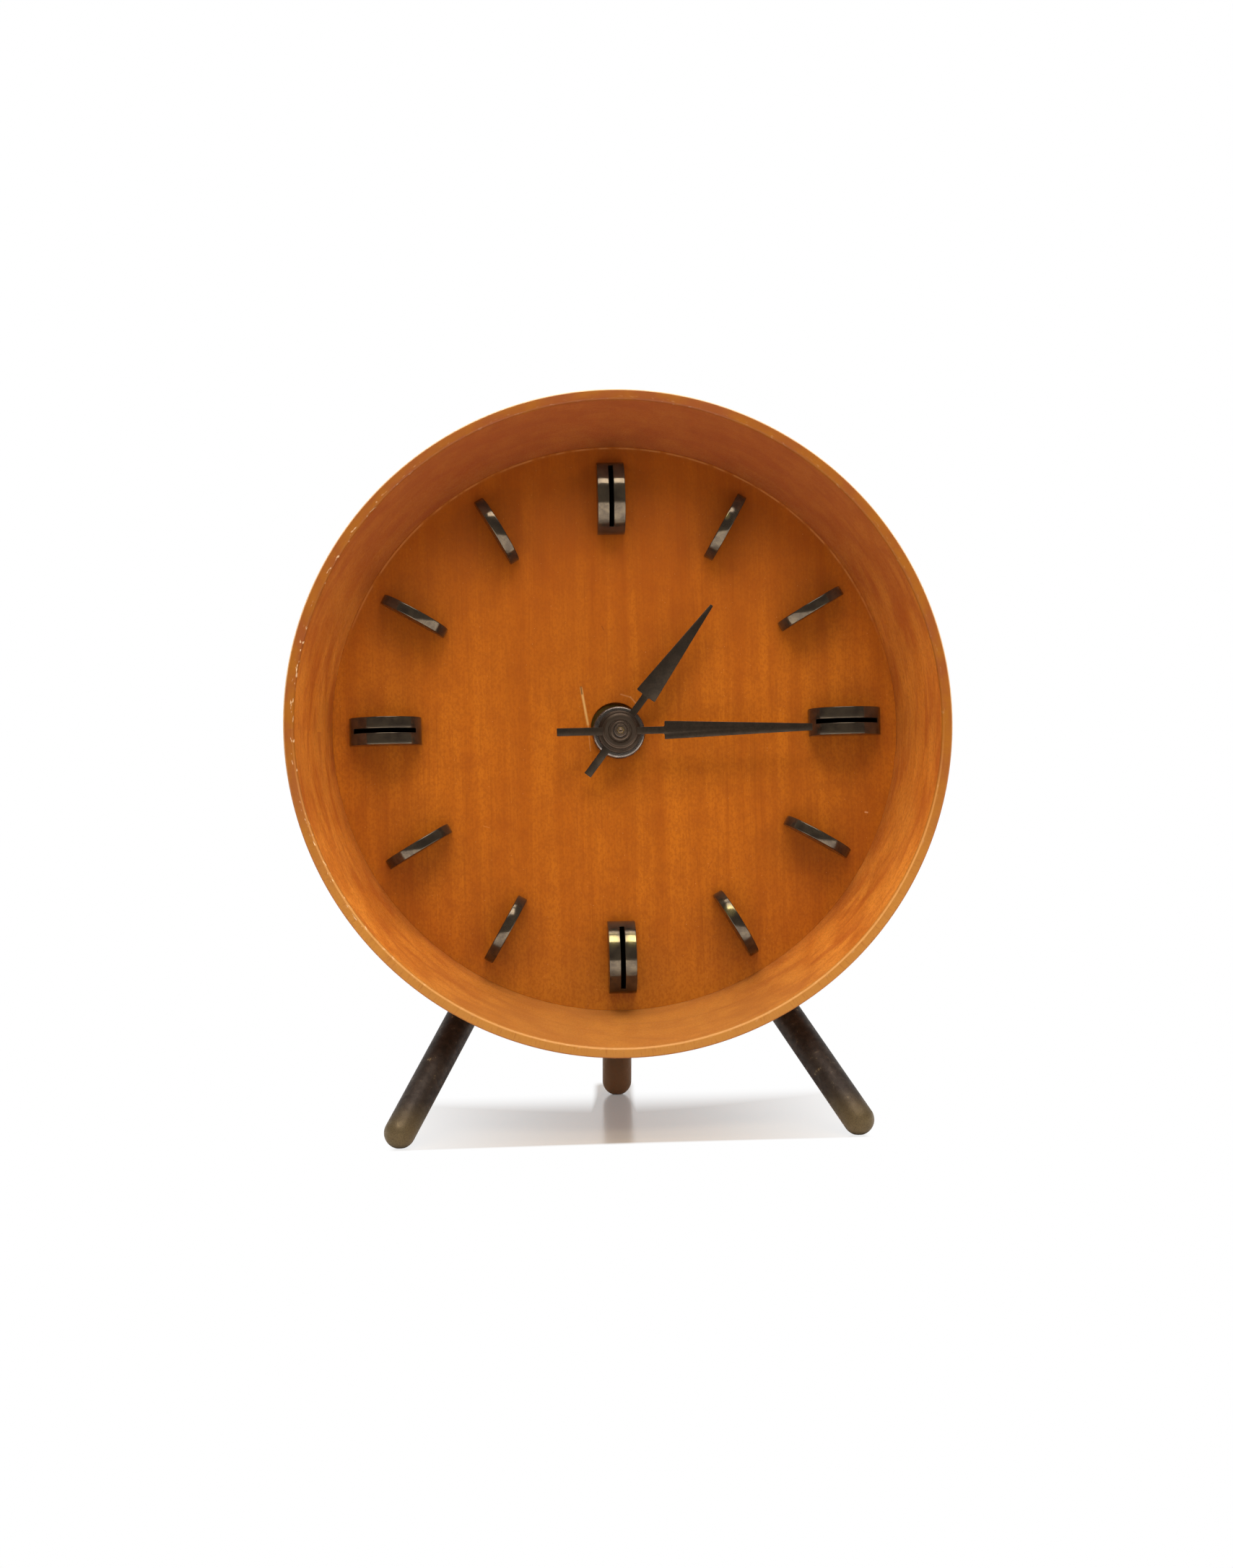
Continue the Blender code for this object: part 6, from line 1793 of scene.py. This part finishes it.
@dataclass
class Studio:
    """Camera, lamps, world and floor."""

    image: tuple[int, int] = (1708, 2172)
    focal_px: float = 3644.907
    distance: float = 588.603  # mm
    look_at: Place = (-1.029, -26.576, 78.642)
    azimuth: float = math.radians(-2.865)
    elevation: float = math.radians(3.794)
    roll: float = math.radians(-1.123)
    sensor: float = 36.0
    near_clip: float = 0.01  # metres
    lamp_tone: str = "FFFDFA"
    lamp_aim: Place = (0.0, 0.0, 0.08)  # metres
    lamps: tuple[SoftBox, ...] = (
        SoftBox("high_front_box", (0.0, -0.5, 0.95), (0.8, 0.4), 7.8),
        SoftBox("overhead_box", (0.0, -0.02, 1.0), (0.8, 0.4), 5.0),
        SoftBox("left_fill", (-0.8, -0.6, 0.5), (0.4, 0.6), 1.8, mirrored=False),
        SoftBox("right_fill", (0.8, -0.6, 0.5), (0.4, 0.6), 2.6, mirrored=False),
    )
    floor_radius: float = 900.0
    floor_drop: float = 0.02  # mm below the feet
    floor_sides: int = 128
    floor_tooth: Grain = Grain((1.2, 1.2, 1.2), 2.0, 200.0)
    floor_tones: tuple[str, Wash] = ("FAF9F7", Wash("FCFBFA", 0.3, 0.7))
    # the shadow is painted into the floor's colour for the camera, darker towards the front; the
    # clock sees the pale board, which keeps its light from below
    shadow_tones: tuple[str, Wash] = ("B29C82", Wash("856F58", -16.0, -36.0, 0.0, 0.5))
    floor_roughness: Span = (0.3, 0.7, 0.18, 0.22)
    floor_bump: float = 0.001  # mm
    floor_specular: float = 0.5
    clear: Point = (60.0, 110.0)  # mm from the middle, where mirrors see the lit floor
    mirrored_floor: float = 3.4  # how bright the lit floor is in polished pieces
    shadow_front: Point = (-37.5, -41.0)  # mm along Y, where the shadow stops
    shadow_back: Point = (-15.0, 24.0)
    shadow_side: Point = (46.0, 54.0)  # mm either side of the middle
    shadow_fade: Span = (0.0, 75.0, 0.18, 1.0)
    # the rear leg's own shadow runs forward from its foot, a little to one side
    leg_foot: float = 37.0  # mm along Y
    leg_slant: float = 0.05
    leg_width: Point = (5.5, 3.0)
    leg_end: Point = (38.0, 30.0)
    fill: float = 0.27  # the room's even light
    dark_front: float = 0.13  # what polished pieces mirror of the room before them
    front_end: Point = (-0.2, 0.35)  # along Y, where that gives way to white

    def camera(self) -> None:
        """Stand the camera where the photograph was taken."""
        data = bpy.data.cameras.new("camera")
        data.sensor_width = self.sensor
        data.lens = self.focal_px / max(self.image) * self.sensor
        data.clip_start = self.near_clip
        camera = bpy.data.objects.new("camera", data)
        back = Vector((
            math.sin(self.azimuth) * math.cos(self.elevation),
            -math.cos(self.azimuth) * math.cos(self.elevation),
            math.sin(self.elevation),
        ))
        right = (-back).cross(Vector((0.0, 0.0, 1.0))).normalized()
        up = right.cross(-back)
        cos, sin = math.cos(self.roll), math.sin(self.roll)
        rows = Matrix((cos * right + sin * up, -sin * right + cos * up, back)).transposed()
        place = (Vector(self.look_at) + back * self.distance) * MM
        camera.matrix_world = Matrix.Translation(place) @ rows.to_4x4()
        bpy.context.scene.collection.objects.link(camera)
        bpy.context.scene.camera = camera

    def light(self, box: SoftBox) -> None:
        """Hang one soft box.

        Args:
            box: the lamp.
        """
        data = bpy.data.lights.new(box.name, "AREA")
        data.shape = "RECTANGLE"
        data.size, data.size_y = box.size
        data.energy = box.power
        data.color = linear(self.lamp_tone)[:3]
        lamp = bpy.data.objects.new(box.name, data)
        lamp.visible_glossy = box.mirrored
        aim = (Vector(self.lamp_aim) - Vector(box.place)).to_track_quat("-Z", "Y")
        lamp.matrix_world = Matrix.Translation(box.place) @ aim.to_matrix().to_4x4()
        bpy.context.scene.collection.objects.link(lamp)

    def open_floor(self, shade: Shade, x: Socket, y: Socket) -> Socket:
        """Where the floor melts into the background, beside the clock's shadow.

        Args:
            shade: the floor's material.
            x: mm to the right.
            y: mm backwards.

        Returns:
            1 where the camera sees plain white and 0 in the full shadow.
        """
        ease = partial(shade.take, Step.EASE)
        aside = shade.take(Step.ABSOLUTE, x)
        slant = shade.product(shade.take(Step.SUBTRACT, self.leg_foot, y), self.leg_slant)
        beside_leg = shade.take(Step.ABSOLUTE, shade.take(Step.ADD, x, slant))
        under_leg = shade.product(ease(beside_leg, *self.leg_width), ease(y, *self.leg_end))
        behind = shade.take(Step.SUBTRACT, ease(y, *self.shadow_back), under_leg)
        away = shade.take(Step.MAXIMUM, ease(aside, *self.shadow_fade), behind)
        away = shade.take(Step.MAXIMUM, away, ease(aside, *self.shadow_side))
        return shade.take(Step.MAXIMUM, away, ease(y, *self.shadow_front))

    def floor(self) -> None:
        """A pale floor that melts into the white background away from the clock."""
        bm = bmesh.new()
        bmesh.ops.create_circle(
            bm, cap_ends=True, segments=self.floor_sides, radius=self.floor_radius
        )
        bmesh.ops.translate(bm, vec=(0.0, 0.0, -self.floor_drop), verts=bm.verts)
        floor = solid(settle(bm, "floor"), "studio_floor")
        # smooth white board, a little glossy, with a faint tooth
        shade = Shade("smooth_white_board", (0.0, 0.0, 0.0), Vector((0.0, 0.0, 0.0)))
        tooth = shade.grain(self.floor_tooth)
        ray = add(shade.tree, "ShaderNodeLightPath").outputs
        x, y, _ = shade.axes()
        tones = []
        # the camera sees the painted shadow tones, the clock the pale board
        for (base, wash), pattern in ((self.floor_tones, tooth), (self.shadow_tones, y)):
            tones.append(shade.wash(linear(base), wash, pattern))
        colour = shade.take(Step.BLEND, ray["Is Camera Ray"], *tones)
        rough = shade.take(Step.EASE, tooth, *self.floor_roughness)
        board = shade.surface(colour, rough, tooth, self.floor_bump, self.floor_specular)
        white = add(shade.tree, "ShaderNodeEmission").outputs[0]
        seen = shade.product(self.open_floor(shade, x, y), ray["Is Camera Ray"])
        board = shade.take(Step.COVER, seen, board, white)
        glow = add(shade.tree, "ShaderNodeEmission", None, {"Strength": self.mirrored_floor})
        far = shade.take(Step.EASE, shade.take(Step.LENGTH, shade.place), *self.clear)
        mirrored = shade.product(far, ray["Is Glossy Ray"])
        board = shade.take(Step.COVER, mirrored, board, glow.outputs[0])
        floor.data.materials.append(shade.finish(board))

    def world(self) -> None:
        """White where the camera looks and behind the clock, dim in front of it."""
        world = bpy.data.worlds.new("studio")
        world.use_nodes = True
        bpy.context.scene.world = world
        tree = world.node_tree
        tree.nodes.clear()
        way = add(tree, "ShaderNodeTexCoord").outputs["Generated"]
        depth = add(tree, "ShaderNodeSeparateXYZ", None, {0: way}).outputs[1]
        behind = take(tree, Step.EASE, depth, *self.front_end, self.dark_front, 1.0)
        ray = add(tree, "ShaderNodeLightPath").outputs
        mirrored = take(tree, Step.MAXIMUM, ray["Is Glossy Ray"], ray["Is Transmission Ray"])
        shown = take(tree, Step.LEVEL, mirrored, self.fill, behind)
        level = take(tree, Step.LEVEL, ray["Is Camera Ray"], shown, 1.0)
        light = add(tree, "ShaderNodeBackground", None,
                    {"Color": linear("FFFFFF"), "Strength": level})
        add(tree, "ShaderNodeOutputWorld", None, {"Surface": light.outputs[0]})

    def build(self) -> None:
        """Set up the whole studio."""
        self.camera()
        for box in self.lamps:
            self.light(box)
        self.floor()
        self.world()
        bpy.context.scene.view_settings.view_transform = "Standard"


def main() -> None:
    """Build the clock's pieces in order and the studio round them."""
    logging.basicConfig(level=logging.INFO, format="%(name)s: %(message)s")
    looks = {metal.name: metal.material() for metal in METALS}
    Studio().build()
    Movement().dress(frame["nodes"], looks)
    legs = Legs()
    Bowl().build(BowlWood().material(), legs)
    legs.build(looks[LEG_BRONZE.name])
    Dial().build(DialWood().material())
    Markers().build(looks[MARKER_BRONZE.name])
    for hand in HANDS:
        hand.build(looks[HAND_BRONZE.name])
    hub = Hub()
    hub.build_nut(looks[BLACK_STEEL.name])
    hub.build_tube(looks[HAND_BRONZE.name])
    back = Back()
    back.build_cover(looks[COVER_METAL.name])
    back.build_screws(looks[PLAIN_STEEL.name])
    back.build_key(looks[KEY_BRASS.name])
    back.build_knob(looks[KEY_BRASS.name])


if __name__ == "__main__":
    main()
